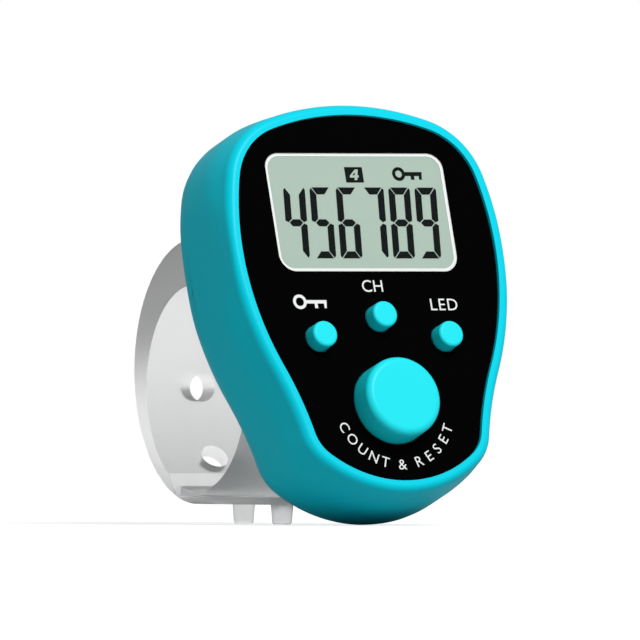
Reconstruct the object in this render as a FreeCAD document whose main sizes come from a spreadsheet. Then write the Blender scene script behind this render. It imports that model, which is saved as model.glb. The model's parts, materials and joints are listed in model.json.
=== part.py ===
import FreeCAD, Part
import math
import os
from types import SimpleNamespace

import Sketcher

# Finger-ring tally counter: a lens-shaped plastic case with a liquid crystal display and
# four keys, on a soft ring whose strap closes over two pegs under the finger.
#
# Row frame: origin at the centre of the finger bore, +X along the bore towards the right
# of the display, +Z up as the counter stands on its chin and pegs. The display faces -Y.
# Case frame, used inside the case pieces: X to the right, Y up the face, Z out of it,
# with Z = 0 on the front of the black face panel.

V = FreeCAD.Vector
PARTS_FOLDER = "parts"

SIZES = [
    # Face panel outline: a chain of tangent arcs, the same on the left and the right.
    ("PanelTop", "19.78"), ("PanelBottom", "19.4"), ("PanelHalfWidth", "14.7"),
    ("WidestHeight", "5.47"), ("TopRadius", "27.69"), ("ShoulderRadius", "7.22"),
    ("FlankRadius", "30.86"), ("WaistRadius", "36.52"), ("WaistDrop", "22.04"),
    ("CornerRadius", "3.85"), ("ChinRadius", "13.29"),
    # Case shells.
    ("RimWidth", "1.3"), ("RimProud", "0.35"), ("RimRound", "1.2"), ("CaseWall", "1.6"),
    ("PanelThickness", "0.8"), ("FrontWall", "1.2"), ("FrontDepth", "9"),
    ("CoverThickness", "2.2"), ("CoverRound", "0.8"), ("PlateauRadius", "12"),
    ("PlateauHeight", "3"), ("PlateauWall", "1.5"), ("CaseLean", "18.2"),
    ("PanelClearance", "0.05"),
    # Display window and module.
    ("WindowWidth", "20.8"), ("WindowHeight", "12.8"), ("WindowRise", "9.48"),
    ("WindowCorner", "1.8"), ("WindowLedge", "0.7"), ("GlassHalfWidth", "10.9"),
    ("GlassTop", "16.4"), ("GlassBottom", "0.9"), ("GlassThickness", "0.8"),
    ("GlassGap", "0.05"), ("ContactLedge", "1.9"), ("GuideThickness", "1.5"),
    ("GuideClearance", "0.05"), ("FrameWall", "0.8"), ("ZebraWidth", "19"),
    ("ZebraThickness", "1.5"), ("LedLength", "3"), ("LedWidth", "1.6"),
    ("LedThickness", "0.7"), ("LedSpacing", "10"),
    # Circuit board and what is on it.
    ("BoardDepth", "6"), ("BoardThickness", "1"), ("BoardMargin", "0.5"),
    ("BlobRadius", "2.4"), ("BlobHeight", "0.9"), ("BlobDrop", "13.2"),
    ("CrystalRadius", "0.75"), ("CrystalLength", "5"), ("CrystalRise", "14.6"),
    ("CapacitorLength", "2"), ("CapacitorWidth", "1.25"), ("CapacitorHeight", "0.8"),
    # Keys, each on its own push switch.
    ("CountRadius", "4.25"), ("CountProud", "2.9"), ("CountRound", "0.7"),
    ("CountDrop", "11.1"), ("CountTravel", "0.4"), ("KeyRadius", "1.4"),
    ("KeyProud", "1.6"), ("KeyRound", "0.35"), ("KeySpread", "7.3"), ("KeyDrop", "4.07"),
    ("ChannelDrop", "1.95"), ("KeyClearance", "0.15"), ("FlangeLip", "0.6"),
    ("FlangeThickness", "0.7"), ("FlangeGap", "0.05"), ("StemRadius", "1"),
    ("SwitchSide", "4.2"), ("CountSwitchSide", "6"), ("SwitchHeight", "1.5"),
    ("SwitchCorner", "0.5"), ("PlungerRadius", "0.9"), ("PlungerProud", "0.4"),
    ("PlungerLength", "1.2"), ("PlungerClearance", "0.1"), ("SwitchFloor", "0.2"),
    # Coin cell and its contacts.
    ("CellRadius", "10"), ("CellThickness", "3.2"), ("CellClearance", "0.5"),
    ("CellCapRadius", "8.8"), ("CellCapStep", "0.3"), ("StripThickness", "0.3"),
    ("StripWidth", "3"), ("StripFoot", "2.5"), ("SpringReach", "8"), ("SpringFlat", "3"),
    ("ClipLength", "4.6"),
    # Screws.
    ("CoverScrewSpread", "12.9"), ("CoverScrewRise", "9.48"), ("ChinScrewSpread", "7.8"),
    ("ChinScrewDrop", "13.3"), ("CoverShankRadius", "0.8"), ("CoverHeadRadius", "1.5"),
    ("CoverHeadHeight", "0.8"), ("CoverScrewLength", "5"), ("BossRadius", "1.4"),
    ("BossClearance", "0.3"), ("PilotClearance", "0.05"), ("ShankClearance", "0.15"),
    ("HeadClearance", "0.2"), ("HeadSink", "0.9"), ("PostSpread", "9.9"),
    ("PostDrop", "8"), ("PostRadius", "1.2"), ("BoardShankRadius", "0.6"),
    ("BoardHeadRadius", "1.1"), ("BoardHeadHeight", "0.6"), ("BoardScrewLength", "3"),
    # Finger ring.
    ("BoreRadius", "10.6"), ("BoreRise", "-0.25"), ("RingWidth", "13"),
    ("SaddleThickness", "3.2"), ("BandTopThickness", "4.8"), ("BandShift", "0.4"),
    ("ArmThickness", "0.5"), ("ArmReach", "3.4"), ("ArmTipRound", "0.3"),
    ("StrapThickness", "0.75"), ("StrapGap", "0.05"), ("SeamLean", "20"),
    ("CutAngle", "56"), ("CutGapAngle", "0.6"), ("TailEnd", "17"), ("TailCorner", "3"),
    ("TailStep", "0.5"), ("StrapHoleRadius", "1.45"), ("HolePitch", "8.22"),
    ("HoleAngle", "42"), ("PegOffset", "1.65"), ("PegRadius", "1.25"),
    ("PegRoot", "0.3"), ("PegLength", "2.85"), ("PegTaper", "5"), ("PegRound", "0.25"),
]

doc = FreeCAD.newDocument("FingerTallyCounter")
sheet = doc.addObject("Spreadsheet::Sheet", "Sizes")
for row_number, (alias, text) in enumerate(SIZES, start=1):
    sheet.set(f"A{row_number}", alias)
    sheet.set(f"B{row_number}", text)
    sheet.setAlias(f"B{row_number}", alias)
doc.recompute()
size = SimpleNamespace(**{alias: float(text) for alias, text in SIZES})
nodes = []


# Levels measured back from the front of the face panel, as expressions.
FRONT_BACK = "(Sizes.PanelThickness + Sizes.FrontWall)"
GLASS_FRONT = f"({FRONT_BACK} + Sizes.GlassGap)"
GLASS_MIDDLE = f"({GLASS_FRONT} + Sizes.GlassThickness)"
GLASS_BACK = f"({GLASS_MIDDLE} + Sizes.GlassThickness)"
BOARD_BACK = "(Sizes.BoardDepth + Sizes.BoardThickness)"
SWITCH_TOP = "(Sizes.BoardDepth - Sizes.SwitchHeight)"
PLUNGER_TOP = f"({SWITCH_TOP} - Sizes.PlungerProud)"
FLANGE_TOP = f"({FRONT_BACK} + Sizes.FlangeGap)"
FLANGE_BACK = f"({FLANGE_TOP} + Sizes.FlangeThickness)"
CASE_BACK = "(Sizes.FrontDepth + Sizes.CoverThickness)"
PLATEAU_BACK = f"({CASE_BACK} + Sizes.PlateauHeight)"
CELL_BACK = f"({PLATEAU_BACK} - Sizes.PlateauWall)"
CELL_FRONT = f"({CELL_BACK} - Sizes.CellThickness)"
HEAD_SEAT = f"({CASE_BACK} - Sizes.HeadSink)"

# The saddle stands between the plateau on the case and the finger bore.
SADDLE_REACH = "(Sizes.SaddleThickness + Sizes.BoreRadius)"
BORE_DEPTH = f"({PLATEAU_BACK} + {SADDLE_REACH})"
BAND_TOP = "(Sizes.BoreRadius + Sizes.BandTopThickness)"
ARM_UNDER = "(Sizes.BoreRadius + Sizes.ArmThickness)"
STRAP_TOP = f"({ARM_UNDER} + Sizes.StrapGap)"
STRAP_UNDER = f"({STRAP_TOP} + Sizes.StrapThickness)"
BAND_RADIUS = f"(({BAND_TOP} + {STRAP_UNDER}) / 2)"
BAND_RISE = f"(({BAND_TOP} - {STRAP_UNDER}) / 2)"
FAR = f"(2 * {BAND_TOP})"


def place_on_case(piece, across="0", up="0", out="0"):
    """Place a piece, made in the case frame, on the leaning case of the row frame."""
    rise = f"({up} - Sizes.BoreRise)"
    depth = f"({BORE_DEPTH} + {out})"
    piece.Placement = FreeCAD.Placement(V(0, 0, 0), FreeCAD.Rotation(V(1, 0, 0), 45))
    piece.setExpression(".Placement.Base.x", across)
    piece.setExpression(".Placement.Base.y",
                        f"{rise} * sin(Sizes.CaseLean) - {depth} * cos(Sizes.CaseLean)")
    piece.setExpression(".Placement.Base.z",
                        f"{rise} * cos(Sizes.CaseLean) + {depth} * sin(Sizes.CaseLean)")
    piece.setExpression(".Placement.Rotation.Angle", "90 - Sizes.CaseLean")


def new_body(label):
    """Start a PartDesign body that becomes the node of the same name."""
    body = doc.addObject("PartDesign::Body", label)
    body.Label = label
    nodes.append(body)
    return body


def new_sketch(body, name, role, offset="0"):
    """Attach a sketch to one of the body's origin planes, offset along its normal."""
    sketch = body.newObject("Sketcher::SketchObject", name)
    plane = next(item for item in body.Origin.OriginFeatures if item.Role == role)
    sketch.AttachmentSupport = [(plane, "")]
    sketch.MapMode = "FlatFace"
    sketch.setExpression("AttachmentOffset.Base.z", offset)
    return sketch


def bind(sketch, expression, *constraint):
    """Add a dimension to a sketch and drive it from the sheet."""
    index = sketch.addConstraint(Sketcher.Constraint(*constraint))
    sketch.setExpression(f"Constraints[{index}]", expression)


def draw_circle(sketch, radius, across="0", up="0"):
    """Draw a circle whose centre and radius follow the sheet."""
    index = sketch.addGeometry(Part.Circle(V(1, 1, 0), V(0, 0, 1), 1), False)
    bind(sketch, radius, "Radius", index, 1)
    bind(sketch, across, "DistanceX", -1, 1, index, 3, 1)
    bind(sketch, up, "DistanceY", -1, 1, index, 3, 1)


def draw_polygon(sketch, corners):
    """Draw a closed chain of lines through corners given as pairs of expressions."""
    count = len(corners)
    start = len(sketch.Geometry)
    ring = [V(math.cos(turn), math.sin(turn), 0)
            for turn in (2 * math.pi * step / count for step in range(count))]
    for step in range(count):
        sketch.addGeometry(Part.LineSegment(ring[step], ring[(step + 1) % count]), False)
    for step in range(count):
        following = start + (step + 1) % count
        sketch.addConstraint(Sketcher.Constraint("Coincident", start + step, 2, following, 1))
    for step, (across, up) in enumerate(corners):
        bind(sketch, across, "DistanceX", -1, 1, start + step, 1, ring[step].x)
        bind(sketch, up, "DistanceY", -1, 1, start + step, 1, ring[step].y)


def draw_rectangle(sketch, left, right, bottom, top):
    """Draw a rectangle between four edge positions."""
    draw_polygon(sketch, [(left, bottom), (right, bottom), (right, top), (left, top)])


def crossings(first, first_radius, second, second_radius):
    """Return the two points where two circles cross."""
    gap = second - first
    along = (gap.Length ** 2 + first_radius ** 2 - second_radius ** 2) / (2 * gap.Length)
    height = math.sqrt(first_radius ** 2 - along ** 2)
    unit = gap / gap.Length
    normal = V(unit.y, -unit.x, 0)
    return [first + unit * along + normal * height, first + unit * along - normal * height]


def outline_arcs(grow):
    """Return the outline's arcs, anticlockwise from the top: centre, radius, from, to."""
    top = V(0, size.PanelTop - size.TopRadius, 0)
    chin = V(0, size.ChinRadius - size.PanelBottom, 0)
    flank = V(size.PanelHalfWidth - size.FlankRadius, size.WidestHeight, 0)
    shoulder = max(crossings(top, size.TopRadius - size.ShoulderRadius,
                             flank, size.FlankRadius - size.ShoulderRadius),
                   key=lambda point: point.x)
    reach = size.FlankRadius + size.WaistRadius
    drop = size.WaistDrop + size.WidestHeight
    waist = V(flank.x + math.sqrt(reach ** 2 - drop ** 2), -size.WaistDrop, 0)
    corner = min(crossings(chin, size.ChinRadius - size.CornerRadius,
                           waist, size.WaistRadius + size.CornerRadius),
                 key=lambda point: point.y)

    def heading(start, end):
        return math.atan2(end.y - start.y, end.x - start.x)

    top_angle = heading(top, shoulder)
    flank_angle = heading(flank, shoulder)
    waist_angle = heading(flank, waist)
    corner_angle = heading(waist, corner) % (2 * math.pi)
    chin_angle = heading(chin, corner)
    half = math.pi
    right = [
        (corner, size.CornerRadius + grow, chin_angle, corner_angle - half),
        (waist, size.WaistRadius - grow, waist_angle + half, corner_angle),
        (flank, size.FlankRadius + grow, waist_angle, flank_angle),
        (shoulder, size.ShoulderRadius + grow, flank_angle, top_angle),
    ]
    left = [(V(-centre.x, centre.y, 0), radius, half - end, half - start)
            for centre, radius, start, end in reversed(right)]
    return ([(top, size.TopRadius + grow, top_angle, half - top_angle)] + left
            + [(chin, size.ChinRadius + grow, half - chin_angle, chin_angle + 2 * half)] + right)


def draw_outline(sketch, grow_text, grow):
    """Draw the case outline, offset outwards from the edge of the face panel."""
    for centre, radius, start, end in outline_arcs(grow):
        circle = Part.Circle(centre, V(0, 0, 1), radius)
        sketch.addGeometry(Part.ArcOfCircle(circle, start, end), False)
    top, left_shoulder, left_flank, left_waist, left_corner = range(5)
    chin, right_corner, right_waist, right_flank, right_shoulder = range(5, 10)
    first, last, centre = 1, 2, 3
    for one, one_end, other, other_end in [
            (top, last, left_shoulder, first), (left_shoulder, last, left_flank, first),
            (left_flank, last, left_waist, last), (left_waist, first, left_corner, first),
            (left_corner, last, chin, first), (chin, last, right_corner, first),
            (right_corner, last, right_waist, last), (right_waist, first, right_flank, first),
            (right_flank, last, right_shoulder, first), (right_shoulder, last, top, first)]:
        sketch.addConstraint(Sketcher.Constraint("Tangent", one, one_end, other, other_end))
    radii = {"TopRadius": [top], "ShoulderRadius": [left_shoulder, right_shoulder],
             "FlankRadius": [left_flank, right_flank],
             "CornerRadius": [left_corner, right_corner], "ChinRadius": [chin]}
    for alias, arcs in radii.items():
        for arc in arcs:
            bind(sketch, f"Sizes.{alias} + {grow_text}", "Radius", arc,
                 sketch.Geometry[arc].Radius)
    flank_across = "Sizes.PanelHalfWidth - Sizes.FlankRadius"
    for arc, side in ((left_flank, "-"), (right_flank, "")):
        here = sketch.Geometry[arc].Center
        bind(sketch, f"{side}({flank_across})", "DistanceX", -1, 1, arc, centre, here.x)
        bind(sketch, "Sizes.WidestHeight", "DistanceY", -1, 1, arc, centre, here.y)
    for arc in (left_waist, right_waist):
        here = sketch.Geometry[arc]
        bind(sketch, f"Sizes.WaistRadius - {grow_text}", "Radius", arc, here.Radius)
        bind(sketch, "-Sizes.WaistDrop", "DistanceY", -1, 1, arc, centre, here.Center.y)
    for arc, height in ((top, "Sizes.PanelTop - Sizes.TopRadius"),
                        (chin, "Sizes.ChinRadius - Sizes.PanelBottom")):
        here = sketch.Geometry[arc].Center
        sketch.addConstraint(Sketcher.Constraint("PointOnObject", arc, centre, -2))
        bind(sketch, height, "DistanceY", -1, 1, arc, centre, here.y)


def extrude(body, sketch, length, kind="Pad", backwards=False):
    """Pad or pocket a sketch and check that it adds or takes away material."""
    before = body.Shape.Volume if not body.Shape.isNull() else 0
    feature = body.newObject(f"PartDesign::{kind}", f"{sketch.Name}{kind}")
    feature.Profile = sketch
    feature.Reversed = backwards
    feature.setExpression("Length", length)
    doc.recompute()
    change = body.Shape.Volume - before
    if (change if kind == "Pad" else -change) < 1e-6:
        raise RuntimeError(f"{body.Label}: {feature.Name} changed nothing")
    return feature


def round_edges(body, radius, choose, kind="Fillet"):
    """Fillet the edges of the body's last feature that choose(edge) picks."""
    base = body.Tip
    names = [f"Edge{number}" for number, edge in enumerate(base.Shape.Edges, start=1)
             if choose(edge)]
    feature = body.newObject(f"PartDesign::{kind}", f"{body.Name}{base.Name}{kind}")
    feature.Base = (base, names)
    feature.setExpression("Radius", radius)
    doc.recompute()
    return feature


def at_height(level):
    """Return a test for edges that lie at one Z level of their piece."""
    def choose(edge):
        box = edge.BoundBox
        return abs(box.ZMin - level) < 1e-4 and abs(box.ZMax - level) < 1e-4
    return choose


def is_upright(edge):
    """Tell whether an edge runs along Z."""
    box = edge.BoundBox
    return box.XLength < 1e-6 and box.YLength < 1e-6


KEYS = {
    "count": ("0", "-Sizes.CountDrop", "Count"),
    "channel": ("0", "-Sizes.ChannelDrop", "Key"),
    "lock": ("-Sizes.KeySpread", "-Sizes.KeyDrop", "Key"),
    "led": ("Sizes.KeySpread", "-Sizes.KeyDrop", "Key"),
}
COVER_SCREWS = {
    "upper_left": ("-Sizes.CoverScrewSpread", "Sizes.CoverScrewRise"),
    "upper_right": ("Sizes.CoverScrewSpread", "Sizes.CoverScrewRise"),
    "lower_left": ("-Sizes.ChinScrewSpread", "-Sizes.ChinScrewDrop"),
    "lower_right": ("Sizes.ChinScrewSpread", "-Sizes.ChinScrewDrop"),
}
BOARD_SCREWS = {
    "left": ("-Sizes.PostSpread", "-Sizes.PostDrop"),
    "right": ("Sizes.PostSpread", "-Sizes.PostDrop"),
}


def draw_window(sketch, inset):
    """Draw the display opening, drawn in from the pane's edge by an inset."""
    half_width = f"(Sizes.WindowWidth / 2 - {inset})"
    half_height = f"(Sizes.WindowHeight / 2 - {inset})"
    draw_rectangle(sketch, f"-{half_width}", half_width,
                   f"Sizes.WindowRise - {half_height}", f"Sizes.WindowRise + {half_height}")


def window_corner(inset):
    """Return a test for the upright edges at the corners of the display opening."""
    across = size.WindowWidth / 2 - inset
    up = size.WindowHeight / 2 - inset

    def choose(edge):
        middle = edge.BoundBox.Center
        return (is_upright(edge) and abs(abs(middle.x) - across) < 1e-4
                and abs(abs(middle.y - size.WindowRise) - up) < 1e-4)
    return choose


def make_front_housing():
    """The coloured shell: rim, side wall, front wall, screw bosses and board posts."""
    body = new_body("front_housing")
    cavity_grow = size.RimWidth - size.CaseWall
    sketch = new_sketch(body, "ShellOutline", "XY_Plane", "Sizes.RimProud")
    draw_outline(sketch, "Sizes.RimWidth", size.RimWidth)
    extrude(body, sketch, "Sizes.FrontDepth + Sizes.RimProud", backwards=True)
    round_edges(body, "Sizes.RimRound", at_height(size.RimProud))

    sketch = new_sketch(body, "PanelRecess", "XY_Plane", "Sizes.RimProud")
    draw_outline(sketch, "0", 0)
    extrude(body, sketch, "Sizes.RimProud + Sizes.PanelThickness", "Pocket")

    sketch = new_sketch(body, "Cavity", "XY_Plane", "-Sizes.FrontDepth")
    draw_outline(sketch, "(Sizes.RimWidth - Sizes.CaseWall)", cavity_grow)
    extrude(body, sketch, f"Sizes.FrontDepth - {FRONT_BACK}", "Pocket", backwards=True)

    sketch = new_sketch(body, "DisplayOpening", "XY_Plane")
    draw_window(sketch, "Sizes.WindowLedge")
    extrude(body, sketch, FRONT_BACK, "Pocket")
    round_edges(body, "Sizes.WindowCorner - Sizes.WindowLedge", window_corner(size.WindowLedge))

    sketch = new_sketch(body, "KeyOpenings", "XY_Plane")
    for across, up, family in KEYS.values():
        draw_circle(sketch, f"Sizes.{family}Radius + Sizes.KeyClearance", across, up)
    extrude(body, sketch, FRONT_BACK, "Pocket")

    sketch = new_sketch(body, "ScrewBosses", "XY_Plane", f"-{FRONT_BACK}")
    for across, up in COVER_SCREWS.values():
        draw_circle(sketch, "Sizes.BossRadius", across, up)
    extrude(body, sketch, f"Sizes.FrontDepth - {FRONT_BACK}", backwards=True)
    sketch = new_sketch(body, "BoardPosts", "XY_Plane", f"-{FRONT_BACK}")
    for across, up in BOARD_SCREWS.values():
        draw_circle(sketch, "Sizes.PostRadius", across, up)
    extrude(body, sketch, f"Sizes.BoardDepth - {FRONT_BACK}", backwards=True)

    sketch = new_sketch(body, "CoverPilots", "XY_Plane", "-Sizes.FrontDepth")
    for across, up in COVER_SCREWS.values():
        draw_circle(sketch, "Sizes.CoverShankRadius + Sizes.PilotClearance", across, up)
    extrude(body, sketch, "Sizes.CoverScrewLength", "Pocket", backwards=True)
    sketch = new_sketch(body, "BoardPilots", "XY_Plane", "-Sizes.BoardDepth")
    for across, up in BOARD_SCREWS.values():
        draw_circle(sketch, "Sizes.BoardShankRadius + Sizes.PilotClearance", across, up)
    extrude(body, sketch, "Sizes.BoardScrewLength", "Pocket", backwards=True)
    place_on_case(body)


def make_rear_cover():
    """The back shell, with the round plateau that holds the coin cell."""
    body = new_body("rear_cover")
    sketch = new_sketch(body, "CoverOutline", "XY_Plane", "-Sizes.FrontDepth")
    draw_outline(sketch, "Sizes.RimWidth", size.RimWidth)
    extrude(body, sketch, "Sizes.CoverThickness", backwards=True)
    back = size.FrontDepth + size.CoverThickness
    round_edges(body, "Sizes.CoverRound", at_height(-back))

    sketch = new_sketch(body, "Plateau", "XY_Plane", f"-{CASE_BACK}")
    draw_circle(sketch, "Sizes.PlateauRadius", "0", "Sizes.BoreRise")
    extrude(body, sketch, "Sizes.PlateauHeight", backwards=True)
    round_edges(body, "Sizes.CoverRound", at_height(-back - size.PlateauHeight))

    sketch = new_sketch(body, "CellWell", "XY_Plane", "-Sizes.FrontDepth")
    draw_circle(sketch, "Sizes.CellRadius + Sizes.CellClearance", "0", "Sizes.BoreRise")
    extrude(body, sketch, f"{CELL_BACK} - Sizes.FrontDepth", "Pocket")

    sketch = new_sketch(body, "ScrewHoles", "XY_Plane", "-Sizes.FrontDepth")
    for across, up in COVER_SCREWS.values():
        draw_circle(sketch, "Sizes.CoverShankRadius + Sizes.ShankClearance", across, up)
    extrude(body, sketch, "Sizes.CoverThickness", "Pocket")
    sketch = new_sketch(body, "HeadSinks", "XY_Plane", f"-{CASE_BACK}")
    for across, up in COVER_SCREWS.values():
        draw_circle(sketch, "Sizes.CoverHeadRadius + Sizes.HeadClearance", across, up)
    extrude(body, sketch, "Sizes.HeadSink", "Pocket", backwards=True)
    place_on_case(body)


def make_face_panel():
    """The black panel, with the display opening and the key holes."""
    body = new_body("face_panel")
    sketch = new_sketch(body, "PanelOutline", "XY_Plane")
    draw_outline(sketch, "(-Sizes.PanelClearance)", -size.PanelClearance)
    extrude(body, sketch, "Sizes.PanelThickness", backwards=True)
    sketch = new_sketch(body, "PanelWindow", "XY_Plane")
    draw_window(sketch, "0")
    extrude(body, sketch, "Sizes.PanelThickness", "Pocket")
    round_edges(body, "Sizes.WindowCorner", window_corner(0))
    sketch = new_sketch(body, "PanelKeyHoles", "XY_Plane")
    for across, up, family in KEYS.values():
        draw_circle(sketch, f"Sizes.{family}Radius + Sizes.KeyClearance", across, up)
    extrude(body, sketch, "Sizes.PanelThickness", "Pocket")
    place_on_case(body)


def make_display_window():
    """The clear pane, seated on the ledge of the front wall."""
    body = new_body("display_window")
    sketch = new_sketch(body, "PaneOutline", "XY_Plane")
    draw_window(sketch, "Sizes.PanelClearance")
    extrude(body, sketch, "Sizes.PanelThickness", backwards=True)
    round_edges(body, "Sizes.WindowCorner", is_upright)
    place_on_case(body)


def make_block(label, across, length, up, width, depth, height):
    """A plain block on the case: left edge, lower edge and back level, then its size."""
    block = doc.addObject("Part::Box", label)
    block.Label = label
    block.setExpression("Length", length)
    block.setExpression("Width", width)
    block.setExpression("Height", height)
    place_on_case(block, across, up, f"-({depth})")
    nodes.append(block)
    return block


def make_display_module():
    """Two glass plates, light guide, its frame and lamps, and the contact strip."""
    glass_width = "2 * Sizes.GlassHalfWidth"
    module_bottom = "(Sizes.GlassBottom + Sizes.ContactLedge)"
    make_block("lcd_front_glass", "-Sizes.GlassHalfWidth", glass_width, "Sizes.GlassBottom",
               "Sizes.GlassTop - Sizes.GlassBottom", GLASS_MIDDLE, "Sizes.GlassThickness")
    make_block("lcd_rear_glass", "-Sizes.GlassHalfWidth", glass_width, module_bottom,
               f"Sizes.GlassTop - {module_bottom}", GLASS_BACK, "Sizes.GlassThickness")
    rim = "(Sizes.FrameWall + Sizes.GuideClearance)"
    make_block("light_guide", f"{rim} - Sizes.GlassHalfWidth", f"{glass_width} - 2 * {rim}",
               f"{module_bottom} + {rim}", f"Sizes.GlassTop - {module_bottom} - 2 * {rim}",
               f"{GLASS_BACK} + Sizes.GuideThickness", "Sizes.GuideThickness")
    make_block("zebra_strip", "-Sizes.ZebraWidth / 2", "Sizes.ZebraWidth",
               "Sizes.GlassBottom + (Sizes.ContactLedge - Sizes.ZebraThickness) / 2",
               "Sizes.ZebraThickness", "Sizes.BoardDepth", f"Sizes.BoardDepth - {GLASS_MIDDLE}")
    for side, middle in (("left", "-Sizes.LedSpacing / 2"), ("right", "Sizes.LedSpacing / 2")):
        make_block(f"backlight_led_{side}", f"{middle} - Sizes.LedLength / 2",
                   "Sizes.LedLength", "Sizes.WindowRise - Sizes.LedWidth / 2",
                   "Sizes.LedWidth", "Sizes.BoardDepth", "Sizes.LedThickness")

    body = new_body("display_frame")
    sketch = new_sketch(body, "FrameOutline", "XY_Plane", f"-{GLASS_BACK}")
    draw_rectangle(sketch, "-Sizes.GlassHalfWidth", "Sizes.GlassHalfWidth",
                   module_bottom, "Sizes.GlassTop")
    extrude(body, sketch, f"Sizes.BoardDepth - {GLASS_BACK}", backwards=True)
    sketch = new_sketch(body, "FrameOpening", "XY_Plane", f"-{GLASS_BACK}")
    draw_rectangle(sketch, "Sizes.FrameWall - Sizes.GlassHalfWidth",
                   "Sizes.GlassHalfWidth - Sizes.FrameWall",
                   f"{module_bottom} + Sizes.FrameWall", "Sizes.GlassTop - Sizes.FrameWall")
    extrude(body, sketch, f"Sizes.BoardDepth - {GLASS_BACK}", "Pocket")
    place_on_case(body)


def make_circuit_board():
    """The board follows the case outline and clears the bosses."""
    body = new_body("circuit_board")
    inset = size.RimWidth - size.CaseWall - size.BoardMargin
    sketch = new_sketch(body, "BoardOutline", "XY_Plane", "-Sizes.BoardDepth")
    draw_outline(sketch, "(Sizes.RimWidth - Sizes.CaseWall - Sizes.BoardMargin)", inset)
    extrude(body, sketch, "Sizes.BoardThickness", backwards=True)
    sketch = new_sketch(body, "BossNotches", "XY_Plane", "-Sizes.BoardDepth")
    for across, up in COVER_SCREWS.values():
        draw_circle(sketch, "Sizes.BossRadius + Sizes.BossClearance", across, up)
    extrude(body, sketch, "Sizes.BoardThickness", "Pocket")
    sketch = new_sketch(body, "BoardHoles", "XY_Plane", "-Sizes.BoardDepth")
    for across, up in BOARD_SCREWS.values():
        draw_circle(sketch, "Sizes.BoardShankRadius + Sizes.ShankClearance", across, up)
    extrude(body, sketch, "Sizes.BoardThickness", "Pocket")
    place_on_case(body)


def make_board_components():
    """The potted chip, the clock crystal and a capacitor on the back of the board."""
    body = new_body("controller_chip")
    sketch = new_sketch(body, "BlobOutline", "XY_Plane")
    draw_circle(sketch, "Sizes.BlobRadius")
    extrude(body, sketch, "Sizes.BlobHeight", backwards=True)
    round_edges(body, "0.8 * Sizes.BlobHeight", at_height(-size.BlobHeight))
    place_on_case(body, "0", "-Sizes.BlobDrop", f"-{BOARD_BACK}")

    crystal = doc.addObject("Part::Cylinder", "clock_crystal")
    crystal.Label = "clock_crystal"
    crystal.setExpression("Radius", "Sizes.CrystalRadius")
    crystal.setExpression("Height", "Sizes.CrystalLength")
    crystal.Placement = FreeCAD.Placement(V(0, 0, 0), FreeCAD.Rotation(V(0, 1, 0), 90))
    depth = f"({BORE_DEPTH} - {BOARD_BACK} - Sizes.CrystalRadius)"
    rise = "(Sizes.CrystalRise - Sizes.BoreRise)"
    crystal.setExpression(".Placement.Base.x", "-Sizes.CrystalLength / 2")
    crystal.setExpression(".Placement.Base.y",
                          f"{rise} * sin(Sizes.CaseLean) - {depth} * cos(Sizes.CaseLean)")
    crystal.setExpression(".Placement.Base.z",
                          f"{rise} * cos(Sizes.CaseLean) + {depth} * sin(Sizes.CaseLean)")
    nodes.append(crystal)
    make_block("filter_capacitor", "Sizes.CrystalLength / 2 + Sizes.CapacitorWidth",
               "Sizes.CapacitorLength", "Sizes.CrystalRise - Sizes.CapacitorWidth / 2",
               "Sizes.CapacitorWidth", f"{BOARD_BACK} + Sizes.CapacitorHeight",
               "Sizes.CapacitorHeight")


def make_key(name, across, up, family):
    """One key: cap, retaining flange under the front wall, and stem onto the plunger."""
    body = new_body(f"{name}_button")
    sketch = new_sketch(body, f"{name.title()}Cap", "XY_Plane", f"Sizes.{family}Proud")
    draw_circle(sketch, f"Sizes.{family}Radius")
    extrude(body, sketch, f"Sizes.{family}Proud + {FLANGE_BACK}", backwards=True)
    proud = {"Count": size.CountProud, "Key": size.KeyProud}[family]
    round_edges(body, f"Sizes.{family}Round", at_height(proud))
    sketch = new_sketch(body, f"{name.title()}Flange", "XY_Plane", f"-{FLANGE_TOP}")
    draw_circle(sketch, f"Sizes.{family}Radius + Sizes.FlangeLip")
    extrude(body, sketch, "Sizes.FlangeThickness", backwards=True)
    sketch = new_sketch(body, f"{name.title()}Stem", "XY_Plane", f"-{FLANGE_BACK}")
    draw_circle(sketch, "Sizes.StemRadius")
    extrude(body, sketch, f"{PLUNGER_TOP} - {FLANGE_BACK}", backwards=True)
    place_on_case(body, across, up)

    side = {"Count": "Sizes.CountSwitchSide", "Key": "Sizes.SwitchSide"}[family]
    body = new_body(f"{name}_switch")
    sketch = new_sketch(body, f"{name.title()}SwitchOutline", "XY_Plane", f"-{SWITCH_TOP}")
    draw_rectangle(sketch, f"-{side} / 2", f"{side} / 2", f"-{side} / 2", f"{side} / 2")
    extrude(body, sketch, "Sizes.SwitchHeight", backwards=True)
    round_edges(body, "Sizes.SwitchCorner", is_upright)
    sketch = new_sketch(body, f"{name.title()}SwitchWell", "XY_Plane", f"-{SWITCH_TOP}")
    draw_circle(sketch, "Sizes.PlungerRadius + Sizes.PlungerClearance")
    extrude(body, sketch, "Sizes.SwitchHeight - Sizes.SwitchFloor", "Pocket")
    place_on_case(body, across, up)

    plunger = doc.addObject("Part::Cylinder", f"{name}_plunger")
    plunger.Label = f"{name}_plunger"
    plunger.setExpression("Radius", "Sizes.PlungerRadius")
    plunger.setExpression("Height", "Sizes.PlungerLength")
    place_on_case(plunger, across, up, f"-({PLUNGER_TOP} + Sizes.PlungerLength)")
    nodes.append(plunger)


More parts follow.
